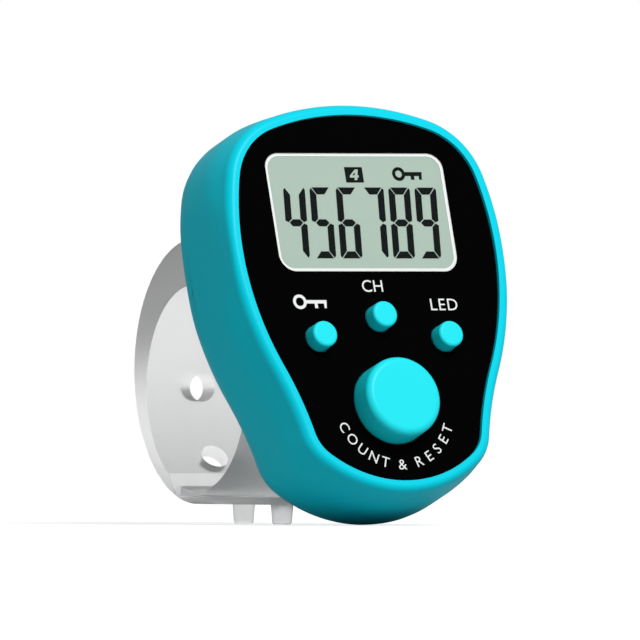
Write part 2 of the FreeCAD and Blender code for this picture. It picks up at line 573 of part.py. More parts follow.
def make_coin_cell():
    """A CR2032 cell, its smaller negative cap towards the board, with both contacts."""
    body = new_body("coin_cell")
    sketch = new_sketch(body, "CellCan", "XY_Plane", f"-({CELL_FRONT} + Sizes.CellCapStep)")
    draw_circle(sketch, "Sizes.CellRadius")
    extrude(body, sketch, "Sizes.CellThickness - Sizes.CellCapStep", backwards=True)
    sketch = new_sketch(body, "CellCap", "XY_Plane", f"-{CELL_FRONT}")
    draw_circle(sketch, "Sizes.CellCapRadius")
    extrude(body, sketch, "Sizes.CellCapStep", backwards=True)
    place_on_case(body, "0", "Sizes.BoreRise")

    strip = "Sizes.StripThickness"
    body = new_body("negative_spring")
    sketch = new_sketch(body, "SpringProfile", "YZ_Plane", "-Sizes.StripWidth / 2")
    draw_polygon(sketch, [
        (f"-(Sizes.SpringReach + Sizes.StripFoot)", f"-{BOARD_BACK}"),
        (f"-Sizes.SpringReach", f"-{BOARD_BACK}"),
        (f"-Sizes.SpringFlat / 2", f"{strip} - {CELL_FRONT}"),
        (f"Sizes.SpringFlat / 2", f"{strip} - {CELL_FRONT}"),
        (f"Sizes.SpringFlat / 2", f"-{CELL_FRONT}"),
        (f"-Sizes.SpringFlat / 2", f"-{CELL_FRONT}"),
        (f"-Sizes.SpringReach", f"-{BOARD_BACK} - {strip}"),
        (f"-(Sizes.SpringReach + Sizes.StripFoot)", f"-{BOARD_BACK} - {strip}"),
    ])
    extrude(body, sketch, "Sizes.StripWidth")
    place_on_case(body, "0", "Sizes.BoreRise")

    body = new_body("positive_clip")
    sketch = new_sketch(body, "ClipProfile", "YZ_Plane", "-Sizes.StripWidth / 2")
    draw_polygon(sketch, [
        ("Sizes.CellRadius", f"-{BOARD_BACK}"),
        (f"Sizes.CellRadius + Sizes.StripFoot", f"-{BOARD_BACK}"),
        (f"Sizes.CellRadius + Sizes.StripFoot", f"-{BOARD_BACK} - {strip}"),
        (f"Sizes.CellRadius + {strip}", f"-{BOARD_BACK} - {strip}"),
        (f"Sizes.CellRadius + {strip}", f"-{BOARD_BACK} - Sizes.ClipLength"),
        ("Sizes.CellRadius", f"-{BOARD_BACK} - Sizes.ClipLength"),
    ])
    extrude(body, sketch, "Sizes.StripWidth")
    place_on_case(body, "0", "Sizes.BoreRise")


def make_screw(label, across, up, seat, family):
    """A pan-head screw driven from the back; its head rests at the seat level."""
    body = new_body(label)
    name = label.title().replace("_", "")
    sketch = new_sketch(body, f"{name}Head", "XY_Plane", f"-({seat})")
    draw_circle(sketch, f"Sizes.{family}HeadRadius")
    extrude(body, sketch, f"Sizes.{family}HeadHeight", backwards=True)
    sketch = new_sketch(body, f"{name}Shank", "XY_Plane", f"-({seat})")
    draw_circle(sketch, f"Sizes.{family}ShankRadius")
    extrude(body, sketch, f"Sizes.{family}ScrewLength")
    place_on_case(body, across, up)


def make_ring_base():
    """The saddle on the plateau and the arm under the finger, with its two pegs."""
    body = new_body("ring_base")
    half_width = "-Sizes.RingWidth / 2"
    sketch = new_sketch(body, "BaseProfile", "YZ_Plane", half_width)
    draw_polygon(sketch, [
        (f"-({SADDLE_REACH} + {ARM_UNDER} * sin(Sizes.CaseLean)) / cos(Sizes.CaseLean)",
         f"-{ARM_UNDER}"),
        ("Sizes.ArmReach", f"-{ARM_UNDER}"),
        ("Sizes.ArmReach", "-Sizes.BoreRadius / 2"),
        ("0", "0"),
        (f"-{BAND_TOP} * tan(Sizes.SeamLean)", BAND_TOP),
        (f"-({SADDLE_REACH} - {BAND_TOP} * sin(Sizes.CaseLean)) / cos(Sizes.CaseLean)",
         BAND_TOP),
    ])
    extrude(body, sketch, "Sizes.RingWidth")
    sketch = new_sketch(body, "BaseBore", "YZ_Plane", "Sizes.RingWidth / 2")
    draw_circle(sketch, "Sizes.BoreRadius")
    extrude(body, sketch, "Sizes.RingWidth", "Pocket")
    sketch = new_sketch(body, "Pegs", "XY_Plane", f"Sizes.PegRoot - {ARM_UNDER}")
    draw_circle(sketch, "Sizes.PegRadius", "0", "Sizes.PegOffset")
    draw_circle(sketch, "Sizes.PegRadius", "0", "Sizes.PegOffset - Sizes.HolePitch")
    pegs = extrude(body, sketch, "Sizes.PegRoot + Sizes.PegLength", backwards=True)
    pegs.setExpression("TaperAngle", "-Sizes.PegTaper")
    doc.recompute()
    tip = -(size.BoreRadius + size.ArmThickness + size.PegLength)
    round_edges(body, "Sizes.PegRound", at_height(tip))


def make_finger_band():
    """The band over the top and round the back of the finger, with two free holes."""
    body = new_body("finger_band")
    sketch = new_sketch(body, "BandOuter", "YZ_Plane", "-Sizes.RingWidth / 2")
    draw_circle(sketch, BAND_RADIUS, "-Sizes.BandShift", BAND_RISE)
    extrude(body, sketch, "Sizes.RingWidth")
    sketch = new_sketch(body, "BandCrown", "YZ_Plane", "-Sizes.RingWidth / 2")
    draw_polygon(sketch, [("0", "0"), ("-Sizes.BandShift", BAND_TOP),
                          (f"-{BAND_TOP} * tan(Sizes.SeamLean)", BAND_TOP)])
    extrude(body, sketch, "Sizes.RingWidth")
    sketch = new_sketch(body, "BandBore", "YZ_Plane", "Sizes.RingWidth / 2")
    draw_circle(sketch, "Sizes.BoreRadius")
    extrude(body, sketch, "Sizes.RingWidth", "Pocket")
    sketch = new_sketch(body, "BandOpening", "YZ_Plane", "Sizes.RingWidth / 2")
    draw_polygon(sketch, [
        ("0", "0"), (f"-{FAR} * tan(Sizes.SeamLean)", FAR), (f"-{FAR}", FAR),
        (f"-{FAR}", f"-{FAR}"),
        (f"{FAR} * cos(Sizes.CutAngle)", f"-{FAR} * sin(Sizes.CutAngle)")])
    extrude(body, sketch, "Sizes.RingWidth", "Pocket")
    for name, angle in (("MiddleHole", "0"), ("LowerHole", "Sizes.HoleAngle")):
        sketch = new_sketch(body, name, "XZ_Plane")
        sketch.AttachmentOffset = FreeCAD.Placement(V(0, 0, 0),
                                                    FreeCAD.Rotation(V(1, 0, 0), 1))
        sketch.setExpression("AttachmentOffset.Rotation.Angle", f"-({angle})")
        draw_circle(sketch, "Sizes.StrapHoleRadius")
        extrude(body, sketch, FAR, "Pocket")


def make_band_tail():
    """The free end of the strap, held by its two holes on the pegs of the arm."""
    body = new_body("band_tail")
    sketch = new_sketch(body, "TailBend", "YZ_Plane", "-Sizes.RingWidth / 2")
    draw_circle(sketch, BAND_RADIUS, "-Sizes.BandShift", BAND_RISE)
    extrude(body, sketch, "Sizes.RingWidth")
    sketch = new_sketch(body, "TailStrap", "YZ_Plane", "-Sizes.RingWidth / 2")
    draw_rectangle(sketch, "-Sizes.TailEnd", "-Sizes.BandShift",
                   f"-{STRAP_UNDER}", f"-{STRAP_TOP}")
    extrude(body, sketch, "Sizes.RingWidth")
    cut = "(Sizes.CutAngle + Sizes.CutGapAngle)"
    sketch = new_sketch(body, "TailClearing", "YZ_Plane", "Sizes.RingWidth / 2")
    draw_polygon(sketch, [
        (f"-{FAR}", f"-{STRAP_TOP}"),
        ("Sizes.ArmReach + Sizes.TailStep", f"-{STRAP_TOP}"),
        (f"Sizes.BoreRadius * cos({cut})", f"-Sizes.BoreRadius * sin({cut})"),
        (f"{FAR} * cos({cut})", f"-{FAR} * sin({cut})"),
        (FAR, FAR), (f"-{FAR}", FAR)])
    extrude(body, sketch, "Sizes.RingWidth", "Pocket")
    round_edges(body, "Sizes.TailCorner",
                lambda edge: is_upright(edge) and edge.BoundBox.YMax < -size.TailEnd + 1e-4)
    sketch = new_sketch(body, "PegHoles", "XY_Plane", f"-{ARM_UNDER}")
    draw_circle(sketch, "Sizes.StrapHoleRadius", "0", "Sizes.PegOffset")
    draw_circle(sketch, "Sizes.StrapHoleRadius", "0", "Sizes.PegOffset - Sizes.HolePitch")
    extrude(body, sketch, "2 * Sizes.StrapThickness", "Pocket")


def check_document():
    """Stop if any object failed to build or any node is not one sound solid."""
    doc.recompute()
    for item in doc.Objects:
        if "Invalid" in item.State or "Error" in item.State:
            raise RuntimeError(f"{item.Label} failed: {item.State}")
    for node in nodes:
        if node.Shape.isNull() or not node.Shape.isValid() or len(node.Shape.Solids) != 1:
            raise RuntimeError(f"{node.Label} is not one valid solid")


make_front_housing()
make_rear_cover()
make_face_panel()
make_display_window()
make_display_module()
make_circuit_board()
make_board_components()
for key_name, (key_across, key_up, key_family) in KEYS.items():
    make_key(key_name, key_across, key_up, key_family)
make_coin_cell()
for screw_name, (screw_across, screw_up) in COVER_SCREWS.items():
    make_screw(f"cover_screw_{screw_name}", screw_across, screw_up, HEAD_SEAT, "Cover")
for screw_name, (screw_across, screw_up) in BOARD_SCREWS.items():
    make_screw(f"board_screw_{screw_name}", screw_across, screw_up, BOARD_BACK, "Board")
make_ring_base()
make_finger_band()
make_band_tail()
check_document()

os.makedirs(PARTS_FOLDER, exist_ok=True)
for finished in nodes:
    finished.Shape.exportStep(os.path.join(PARTS_FOLDER, f"{finished.Label}.step"))
print(f"{len(nodes)} nodes written")
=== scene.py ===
"""Dress the finger tally counter: glossy shells, printed panel, display, keys and soft ring."""

import json
import logging
import math
from dataclasses import dataclass, field
from enum import Enum
from typing import Callable, Sequence

import bpy
from mathutils import Matrix, Vector


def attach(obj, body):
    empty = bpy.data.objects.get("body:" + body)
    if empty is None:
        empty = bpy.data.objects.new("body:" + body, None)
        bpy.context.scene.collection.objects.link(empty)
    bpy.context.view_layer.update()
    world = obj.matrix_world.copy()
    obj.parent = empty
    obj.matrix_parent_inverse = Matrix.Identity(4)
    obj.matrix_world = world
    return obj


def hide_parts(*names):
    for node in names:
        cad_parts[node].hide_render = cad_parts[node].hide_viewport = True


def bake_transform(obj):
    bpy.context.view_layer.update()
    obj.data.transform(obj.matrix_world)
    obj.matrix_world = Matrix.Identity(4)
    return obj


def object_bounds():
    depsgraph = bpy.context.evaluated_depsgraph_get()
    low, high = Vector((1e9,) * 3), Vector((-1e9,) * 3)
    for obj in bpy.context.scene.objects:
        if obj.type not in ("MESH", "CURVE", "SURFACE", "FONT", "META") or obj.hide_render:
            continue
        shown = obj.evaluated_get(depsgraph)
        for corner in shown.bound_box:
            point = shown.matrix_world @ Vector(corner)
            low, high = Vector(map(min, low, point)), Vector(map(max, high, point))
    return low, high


Piece = bpy.types.Object
Spot = tuple[float, float]

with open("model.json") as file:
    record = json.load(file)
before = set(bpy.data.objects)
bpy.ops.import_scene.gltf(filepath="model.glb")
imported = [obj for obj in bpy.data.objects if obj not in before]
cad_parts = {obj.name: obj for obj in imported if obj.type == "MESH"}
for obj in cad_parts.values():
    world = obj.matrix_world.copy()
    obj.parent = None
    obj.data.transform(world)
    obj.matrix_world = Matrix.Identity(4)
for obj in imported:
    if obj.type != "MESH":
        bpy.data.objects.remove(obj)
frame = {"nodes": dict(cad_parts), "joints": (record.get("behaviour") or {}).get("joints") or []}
cad_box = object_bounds()

LOG = logging.getLogger("tally_counter")
MILLIMETRE = 0.001
NEAR = 1e-4
FACING = 0.9
SHARP_TURN = 40.0
VIEW_AZIMUTH = math.radians(-28.65)
AIM_BESIDE = -5.687
AIM_BELOW = -2.035


class Body(Enum):
    """The rigid bodies of the counter that pieces ride on."""

    CASE = "case"
    COUNT = "count_key"
    CHANNEL = "channel_key"
    LOCK = "lock_key"
    LED = "led_key"
    TAIL = "tail"


class Turn(Enum):
    """How an outline bends along one of its arcs."""

    OUTWARD = 1
    INWARD = -1


# ---------------------------------------------------------------- axes and outline


@dataclass(frozen=True)
class CaseAxes:
    """The leaning frame of the case: X to the right, Y up the face, Z out of it, in mm."""

    to_row: Matrix
    lean: float

    @classmethod
    def from_frame(cls, count_drop: float) -> "CaseAxes":
        """Read the lean from the count key's travel, and the origin from panel and key.

        Args:
            count_drop: Distance from the origin down to the count key's centre, in mm.

        Returns:
            The axes of the case.
        """
        press = next(item for item in frame["joints"] if item["name"] == "count_press")
        out = -Vector(press["axis"])
        right = Vector((1, 0, 0))
        up = out.cross(right)
        level = max(corner.co.dot(out) for corner in frame["nodes"]["face_panel"].data.vertices)
        heights = [corner.co.dot(up) for corner in frame["nodes"]["count_button"].data.vertices]
        centre = (max(heights) + min(heights)) / 2 + count_drop * MILLIMETRE
        origin = out * level + up * centre
        turn = Matrix((right, up, out)).transposed().to_4x4()
        to_row = Matrix.Translation(origin) @ turn @ Matrix.Scale(MILLIMETRE, 4)
        return cls(to_row=to_row, lean=math.atan2(out.z, -out.y))

    def span(self, node: str, axis: int) -> Spot:
        """Measure a CAD node along one case axis.

        Args:
            node: Name of the CAD node.
            axis: 0 for right, 1 for up, 2 for out.

        Returns:
            The lowest and highest position, in mm.
        """
        back = self.to_row.inverted()
        places = [(back @ corner.co)[axis] for corner in frame["nodes"][node].data.vertices]
        return min(places), max(places)


def polar(radius: float, angle: float) -> Vector:
    """Return the point at a distance and an angle from the origin of a plane."""
    return radius * Vector((math.cos(angle), math.sin(angle)))


@dataclass(frozen=True)
class LensOutline:
    """The egg-shaped edge of the face panel, as tangent arcs, in mm."""

    top: float = 19.78
    bottom: float = 19.4
    half_width: float = 14.7
    widest_height: float = 5.47
    top_radius: float = 27.69
    shoulder_radius: float = 7.22
    flank_radius: float = 30.86
    waist_radius: float = 36.52
    waist_drop: float = 22.04
    corner_radius: float = 3.85
    chin_radius: float = 13.29
    step: float = math.radians(2.4)

    @staticmethod
    def crossings(one: Vector, one_radius: float, other: Vector,
                  other_radius: float) -> list[Vector]:
        """Find where two circles cross.

        Args:
            one: Centre of the first circle.
            one_radius: Its radius.
            other: Centre of the second circle.
            other_radius: Its radius.

        Returns:
            Both crossing points.
        """
        gap = other - one
        along = (gap.length ** 2 + one_radius ** 2 - other_radius ** 2) / (2 * gap.length)
        height = math.sqrt(one_radius ** 2 - along ** 2)
        unit = gap.normalized()
        normal = Vector((unit.y, -unit.x))
        return [one + unit * along + normal * height, one + unit * along - normal * height]

    def right_arcs(self) -> list[tuple[Vector, float, Turn, float, float]]:
        """List the right side's arcs from chin to top.

        Returns:
            Centre, radius, bend, first angle and last angle of each arc.
        """
        top = Vector((0, self.top - self.top_radius))
        chin = Vector((0, self.chin_radius - self.bottom))
        flank = Vector((self.half_width - self.flank_radius, self.widest_height))
        shoulder = max(self.crossings(top, self.top_radius - self.shoulder_radius,
                                      flank, self.flank_radius - self.shoulder_radius),
                       key=lambda point: point.x)
        reach = self.flank_radius + self.waist_radius
        drop = self.waist_drop + self.widest_height
        waist = Vector((flank.x + math.sqrt(reach ** 2 - drop ** 2), -self.waist_drop))
        corner = min(self.crossings(chin, self.chin_radius - self.corner_radius,
                                    waist, self.waist_radius + self.corner_radius),
                     key=lambda point: point.y)

        def heading(start: Vector, end: Vector) -> float:
            """Return the direction from one point to another."""
            return math.atan2(end.y - start.y, end.x - start.x)

        chin_angle = heading(chin, corner)
        corner_angle = heading(corner, waist)
        flank_angle = heading(flank, waist)
        shoulder_angle = heading(flank, shoulder)
        top_angle = heading(top, shoulder)
        return [
            (chin, self.chin_radius, Turn.OUTWARD, -math.pi / 2, chin_angle),
            (corner, self.corner_radius, Turn.OUTWARD, chin_angle, corner_angle),
            (waist, self.waist_radius, Turn.INWARD, corner_angle + math.pi, flank_angle + math.pi),
            (flank, self.flank_radius, Turn.OUTWARD, flank_angle, shoulder_angle),
            (shoulder, self.shoulder_radius, Turn.OUTWARD, shoulder_angle, top_angle),
            (top, self.top_radius, Turn.OUTWARD, top_angle, math.pi / 2),
        ]

    def points(self, grow: float = 0.0) -> list[Vector]:
        """Walk the outline anticlockwise from the middle of the chin.

        Args:
            grow: Distance to move outwards from the panel's edge.

        Returns:
            Points in the plane of the face.
        """
        right: list[Vector] = []
        for centre, radius, turn, first, last in self.right_arcs():
            reach = radius + grow * turn.value
            count = max(3, math.ceil(abs(last - first) * math.sqrt(radius) / (2 * self.step)))
            for index in range(count):
                angle = first + (last - first) * index / count
                right.append(centre + polar(reach, angle))
        crown = Vector((0, self.top + grow))
        left = [Vector((-point.x, point.y)) for point in reversed(right[1:])]
        return right + [crown] + left


# ---------------------------------------------------------------- modelling by operators


class Bench:
    """Small wrappers that work one mesh with Blender's operators, in millimetres."""

    @staticmethod
    def deselect() -> None:
        """Leave edit mode and deselect everything."""
        if bpy.context.object and bpy.context.object.mode != "OBJECT":
            bpy.ops.object.mode_set(mode="OBJECT")
        bpy.ops.object.select_all(action="DESELECT")

    @classmethod
    def focus(cls, piece: Piece) -> None:
        """Make one piece the only selected and active one."""
        cls.deselect()
        piece.select_set(True)
        bpy.context.view_layer.objects.active = piece

    @classmethod
    def start(cls, name: str) -> Piece:
        """Name the primitive that was just added and return it."""
        piece = bpy.context.object
        piece.name = name
        piece.data.name = name
        return piece

    @classmethod
    def plate(cls, name: str, points: Sequence[Vector], level: float) -> Piece:
        """Lay a filled circle and pull its rim onto an outline.

        Args:
            name: Name of the piece.
            points: Corners of the outline, anticlockwise.
            level: Height of the plate.

        Returns:
            The flat plate.
        """
        cls.deselect()
        bpy.ops.mesh.primitive_circle_add(vertices=len(points), radius=1, fill_type="NGON")
        piece = cls.start(name)
        for corner, point in zip(piece.data.vertices, points):
            corner.co = (point.x, point.y, level)
        piece.data.update()
        return piece

    @classmethod
    def prism(cls, name: str, points: Sequence[Vector], low: float, high: float) -> Piece:
        """Extrude an outline between two levels.

        Args:
            name: Name of the piece.
            points: Corners of the outline, anticlockwise.
            low: Level of the underside.
            high: Level of the top.

        Returns:
            The closed prism.
        """
        piece = cls.plate(name, points, high)
        cls.focus(piece)
        cls.open_mesh()
        cls.extrude(low - high)
        bpy.ops.object.mode_set(mode="OBJECT")
        cls.outward(piece)
        return piece

    @classmethod
    def column(cls, name: str, loops: Sequence[tuple[float, Sequence[Vector]]]) -> Piece:
        """Extrude a plate level by level and pull its rim onto a new outline each time.

        Args:
            name: Name of the piece.
            loops: Level and outline of each step, all with the same number of corners.

        Returns:
            The closed column.
        """
        level, outline = loops[0]
        piece = cls.plate(name, outline, level)
        cls.focus(piece)
        for next_level, next_outline in loops[1:]:
            bpy.ops.object.mode_set(mode="EDIT")
            cls.extrude(next_level - level)
            bpy.ops.object.mode_set(mode="OBJECT")
            places = {(round(point.x, 4), round(point.y, 4)): index
                      for index, point in enumerate(outline)}
            for corner in piece.data.vertices:
                if corner.select:
                    index = places[(round(corner.co.x, 4), round(corner.co.y, 4))]
                    corner.co = (next_outline[index].x, next_outline[index].y, next_level)
            level, outline = next_level, next_outline
        cls.outward(piece)
        return piece

    @staticmethod
    def open_mesh() -> None:
        """Enter edit mode with everything selected."""
        bpy.ops.object.mode_set(mode="EDIT")
        bpy.ops.mesh.select_all(action="SELECT")

    @staticmethod
    def extrude(rise: float) -> None:
        """Extrude what is selected straight up or down, in edit mode."""
        bpy.ops.mesh.extrude_region_move(TRANSFORM_OT_translate={"value": (0, 0, rise)})

    @classmethod
    def cylinder(cls, name: str, radius: float, depth: float, middle: Sequence[float],
                 sides: int = 64, turn: Sequence[float] = (0, 0, 0)) -> Piece:
        """Make a closed cylinder about a middle, with the object at the origin.

        Args:
            name: Name of the piece.
            radius: Its radius.
            depth: Its length, along Z before any turn.
            middle: Its centre.
            sides: Number of sides.
            turn: Rotation about the centre.

        Returns:
            The cylinder.
        """
        cls.deselect()
        bpy.ops.mesh.primitive_cylinder_add(vertices=sides, radius=radius, depth=depth,
                                            location=middle, rotation=turn)
        piece = cls.start(name)
        bpy.ops.object.transform_apply(location=True, rotation=True, scale=False)
        return piece

    @classmethod
    def outward(cls, piece: Piece) -> None:
        """Turn every face outwards."""
        cls.focus(piece)
        cls.open_mesh()
        bpy.ops.mesh.normals_make_consistent(inside=False)
        bpy.ops.object.mode_set(mode="OBJECT")

    @classmethod
    def unpick(cls, piece: Piece) -> None:
        """Make a piece active with no corner, edge or face of it selected."""
        cls.focus(piece)
        for parts in (piece.data.vertices, piece.data.edges, piece.data.polygons):
            for part in parts:
                part.select = False

    @classmethod
    def pick_faces(cls, piece: Piece, test: Callable[[bpy.types.MeshPolygon], bool]) -> None:
        """Select only the faces that pass a test and enter edit mode.

        Args:
            piece: The mesh to select in.
            test: Called with each face.
        """
        cls.unpick(piece)
        for face in piece.data.polygons:
            face.select = bool(test(face))
        bpy.ops.object.mode_set(mode="EDIT")
        bpy.ops.mesh.select_mode(type="FACE")

    @classmethod
    def bevel_edges(cls, piece: Piece, test: Callable[[Vector, Vector], bool],
                    width: float, segments: int = 4) -> None:
        """Bevel the edges whose two ends pass a test.

        Args:
            piece: The mesh to work.
            test: Called with both ends of each edge.
            width: Bevel width.
            segments: Number of steps across the bevel.
        """
        cls.unpick(piece)
        mesh = piece.data
        for edge in mesh.edges:
            first, last = (mesh.vertices[index].co for index in edge.vertices)
            edge.select = bool(test(first, last))
            if edge.select:
                for index in edge.vertices:
                    mesh.vertices[index].select = True
        bpy.ops.object.mode_set(mode="EDIT")
        bpy.ops.mesh.select_mode(type="EDGE")
        bpy.ops.mesh.bevel(offset=width, segments=segments, profile=0.5, affect="EDGES",
                           clamp_overlap=True)
        bpy.ops.object.mode_set(mode="OBJECT")

    @classmethod
    def cut(cls, piece: Piece, cutter: Piece, operation: str = "DIFFERENCE") -> None:
        """Combine a piece with a cutter, which is used up.

        Args:
            piece: The mesh that stays.
            cutter: The mesh to take away or add.
            operation: Name of the boolean operation.
        """
        cls.focus(piece)
        modifier = piece.modifiers.new("cut", "BOOLEAN")
        modifier.operation = operation
        modifier.solver = "EXACT"
        modifier.object = cutter
        bpy.ops.object.modifier_apply(modifier=modifier.name)
        bpy.data.objects.remove(cutter, do_unlink=True)

    @classmethod
    def soften(cls, piece: Piece, width: float, segments: int = 3,
               angle: float = math.radians(35)) -> None:
        """Round every sharp edge of a piece with an applied bevel."""
        cls.focus(piece)
        modifier = piece.modifiers.new("round", "BEVEL")
        modifier.width = width
        modifier.segments = segments
        modifier.limit_method = "ANGLE"
        modifier.angle_limit = angle
        modifier.use_clamp_overlap = True
        bpy.ops.object.modifier_apply(modifier=modifier.name)

    @classmethod
    def join(cls, pieces: Sequence[Piece], name: str) -> Piece:
        """Join several meshes into one piece."""
        cls.focus(pieces[0])
        for piece in pieces:
            piece.select_set(True)
        if len(pieces) > 1:
            bpy.ops.object.join()
        return cls.start(name)

    @classmethod
    def smooth(cls, piece: Piece, angle: float = 32.0) -> None:
        """Shade a piece smooth up to an angle in degrees."""
        cls.focus(piece)
        bpy.ops.object.shade_smooth_by_angle(angle=math.radians(angle))
        modifier = piece.modifiers.new("even", "WEIGHTED_NORMAL")
        modifier.keep_sharp = True
        bpy.ops.object.modifier_apply(modifier=modifier.name)

    @classmethod
    def settle(cls, piece: Piece, place: Matrix) -> Piece:
        """Move a millimetre mesh to its place, leaving the object at the origin."""
        cls.focus(piece)
        bpy.ops.object.transform_apply(location=True, rotation=True, scale=True)
        piece.data.transform(place)
        piece.data.update()
        return piece


def round_rectangle(width: float, height: float, radius: float, middle: Vector,
                    steps: int = 12) -> list[Vector]:
    """Walk a rounded rectangle anticlockwise.

    Args:
        width: Overall width.
        height: Overall height.
        radius: Corner radius.
        middle: Centre of the rectangle.
        steps: Points along each corner.

    Returns:
        The corner points.
    """
    points = []
    signs = [(1, -1), (1, 1), (-1, 1), (-1, -1)]
    for quarter, (across, up) in enumerate(signs):
        centre = middle + Vector((across * (width / 2 - radius), up * (height / 2 - radius)))
        for index in range(steps + 1):
            angle = math.pi / 2 * (quarter - 1 + index / steps)
            points.append(centre + polar(radius, angle))
    return points


def ring_points(radius: float, middle: Vector, count: int = 96) -> list[Vector]:
    """Walk a circle anticlockwise."""
    return [middle + polar(radius, 2 * math.pi * index / count) for index in range(count)]


# ---------------------------------------------------------------- shader groups and finishes


@dataclass
class Wiring:
    """Short ways to fill one shader node tree."""

    tree: bpy.types.NodeTree

    def add(self, kind: str, values: dict | None = None, **settings: object) -> bpy.types.Node:
        """Add a node and set it up.

        Args:
            kind: Its type, without the common prefix.
            values: Default value of each input that is set.
            settings: Its own settings.

        Returns:
            The new node.
        """
        node = self.tree.nodes.new(kind if kind.startswith("Node") else f"ShaderNode{kind}")
        for name, value in settings.items():
            setattr(node, name, value)
        for name, value in (values or {}).items():
            node.inputs[name].default_value = value
        return node

    def join(self, source: bpy.types.Node, output: str | int,
             target: bpy.types.Node, entry: str | int) -> None:
        """Link a node's output to another node's input."""
        self.tree.links.new(source.outputs[output], target.inputs[entry])


class Effects:
    """Shader node groups shared by the finishes."""

    @staticmethod
    def group(name: str, sockets: Sequence[tuple]) -> Wiring:
        """Start a node group with its named inputs and outputs.

        Args:
            name: Name of the group.
            sockets: Name, direction, kind and, where it has one, default value of each.

        Returns:
            The wiring of the new group.
        """
        group = bpy.data.node_groups.new(name, "ShaderNodeTree")
        for title, way, kind, *value in sockets:
            made = group.interface.new_socket(name=title, in_out=way,
                                              socket_type=f"NodeSocket{kind}")
            if value:
                made.default_value = value[0]
        return Wiring(group)

    @classmethod
    def moulding(cls) -> bpy.types.NodeTree:
        """Fine flow marks and texture of moulded plastic.

        Returns:
            A group giving a mottle value, a roughness and a height.
        """
        existing = bpy.data.node_groups.get("moulding")
        if existing:
            return existing
        wiring = cls.group("moulding", [
            ("Vector", "INPUT", "Vector"), ("Grain", "INPUT", "Float", 4000.0),
            ("Flow", "INPUT", "Float", 120.0), ("Roughness", "INPUT", "Float", 0.3),
            ("Spread", "INPUT", "Float", 0.05), ("Mottle", "OUTPUT", "Float"),
            ("Roughness", "OUTPUT", "Float"), ("Height", "OUTPUT", "Float")])
        source = wiring.add("NodeGroupInput")
        result = wiring.add("NodeGroupOutput")
        grain = wiring.add("TexNoise", {"Detail": 3.0})
        flow = wiring.add("TexNoise", {"Detail": 4.0, "Distortion": 0.6})
        centred = wiring.add("Math", {1: 0.5}, operation="SUBTRACT")
        spread = wiring.add("Math", operation="MULTIPLY_ADD")
        for noise, scale in ((grain, "Grain"), (flow, "Flow")):
            wiring.join(source, "Vector", noise, "Vector")
            wiring.join(source, scale, noise, "Scale")
        wiring.join(flow, "Fac", centred, 0)
        wiring.join(centred, 0, spread, 0)
        wiring.join(source, "Spread", spread, 1)
        wiring.join(source, "Roughness", spread, 2)
        wiring.join(flow, "Fac", result, "Mottle")
        wiring.join(spread, 0, result, "Roughness")
        wiring.join(grain, "Fac", result, "Height")
        return wiring.tree

    @classmethod
    def tint(cls) -> bpy.types.NodeTree:
        """Shift a colour a little towards another by a mottle value.

        Returns:
            A group giving the mixed colour.
        """
        existing = bpy.data.node_groups.get("tint")
        if existing:
            return existing
        wiring = cls.group("tint", [
            ("Mottle", "INPUT", "Float", 0.5), ("Strength", "INPUT", "Float", 0.2),
            ("Colour", "INPUT", "Color"), ("Other", "INPUT", "Color"),
            ("Colour", "OUTPUT", "Color")])
        source = wiring.add("NodeGroupInput")
        result = wiring.add("NodeGroupOutput")
        amount = wiring.add("Math", operation="MULTIPLY")
        mix = wiring.add("Mix", data_type="RGBA")
        wiring.join(source, "Mottle", amount, 0)
        wiring.join(source, "Strength", amount, 1)
        wiring.join(amount, 0, mix, "Factor")
        wiring.join(source, "Colour", mix, "A")
        wiring.join(source, "Other", mix, "B")
        wiring.join(mix, "Result", result, "Colour")
        return wiring.tree


@dataclass(frozen=True)
class Finish:
    """One procedural finish on object coordinates."""

    name: str
    colour: tuple[float, float, float]
    other: tuple[float, float, float]
    roughness: float = 0.3
    spread: float = 0.06
    mottle: float = 0.25
    grain: float = 4000.0
    flow: float = 120.0
    bump: float = 0.05
    metallic: float = 0.0
    specular: float = 0.5
    alpha: float = 1.0
    transmission: float = 0.0
    index: float = 1.45
    bump_height: float = 0.02

    def material(self) -> bpy.types.Material:
        """Build the material once and return it.

        Returns:
            The Blender material of this finish.
        """
        existing = bpy.data.materials.get(self.name)
        if existing:
            return existing
        made = bpy.data.materials.new(self.name)
        made.use_nodes = True
        wiring = Wiring(made.node_tree)
        shader = made.node_tree.nodes["Principled BSDF"]
        place = wiring.add("TexCoord")
        marks = wiring.add("Group", {"Grain": self.grain, "Flow": self.flow,
                                     "Roughness": self.roughness, "Spread": self.spread},
                           node_tree=Effects.moulding())
        tint = wiring.add("Group", {"Strength": self.mottle, "Colour": (*self.colour, 1),
                                    "Other": (*self.other, 1)}, node_tree=Effects.tint())
        bump = wiring.add("Bump", {"Strength": self.bump,
                                   "Distance": self.bump_height * MILLIMETRE})
        wiring.join(place, "Object", marks, "Vector")
        wiring.join(marks, "Mottle", tint, "Mottle")
        wiring.join(tint, "Colour", shader, "Base Color")
        wiring.join(marks, "Roughness", shader, "Roughness")
        wiring.join(marks, "Height", bump, "Height")
        wiring.join(bump, "Normal", shader, "Normal")
        for name, value in {"Metallic": self.metallic, "Specular IOR Level": self.specular,
                            "Alpha": self.alpha, "Transmission Weight": self.transmission,
                            "IOR": self.index}.items():
            shader.inputs[name].default_value = value
        return made


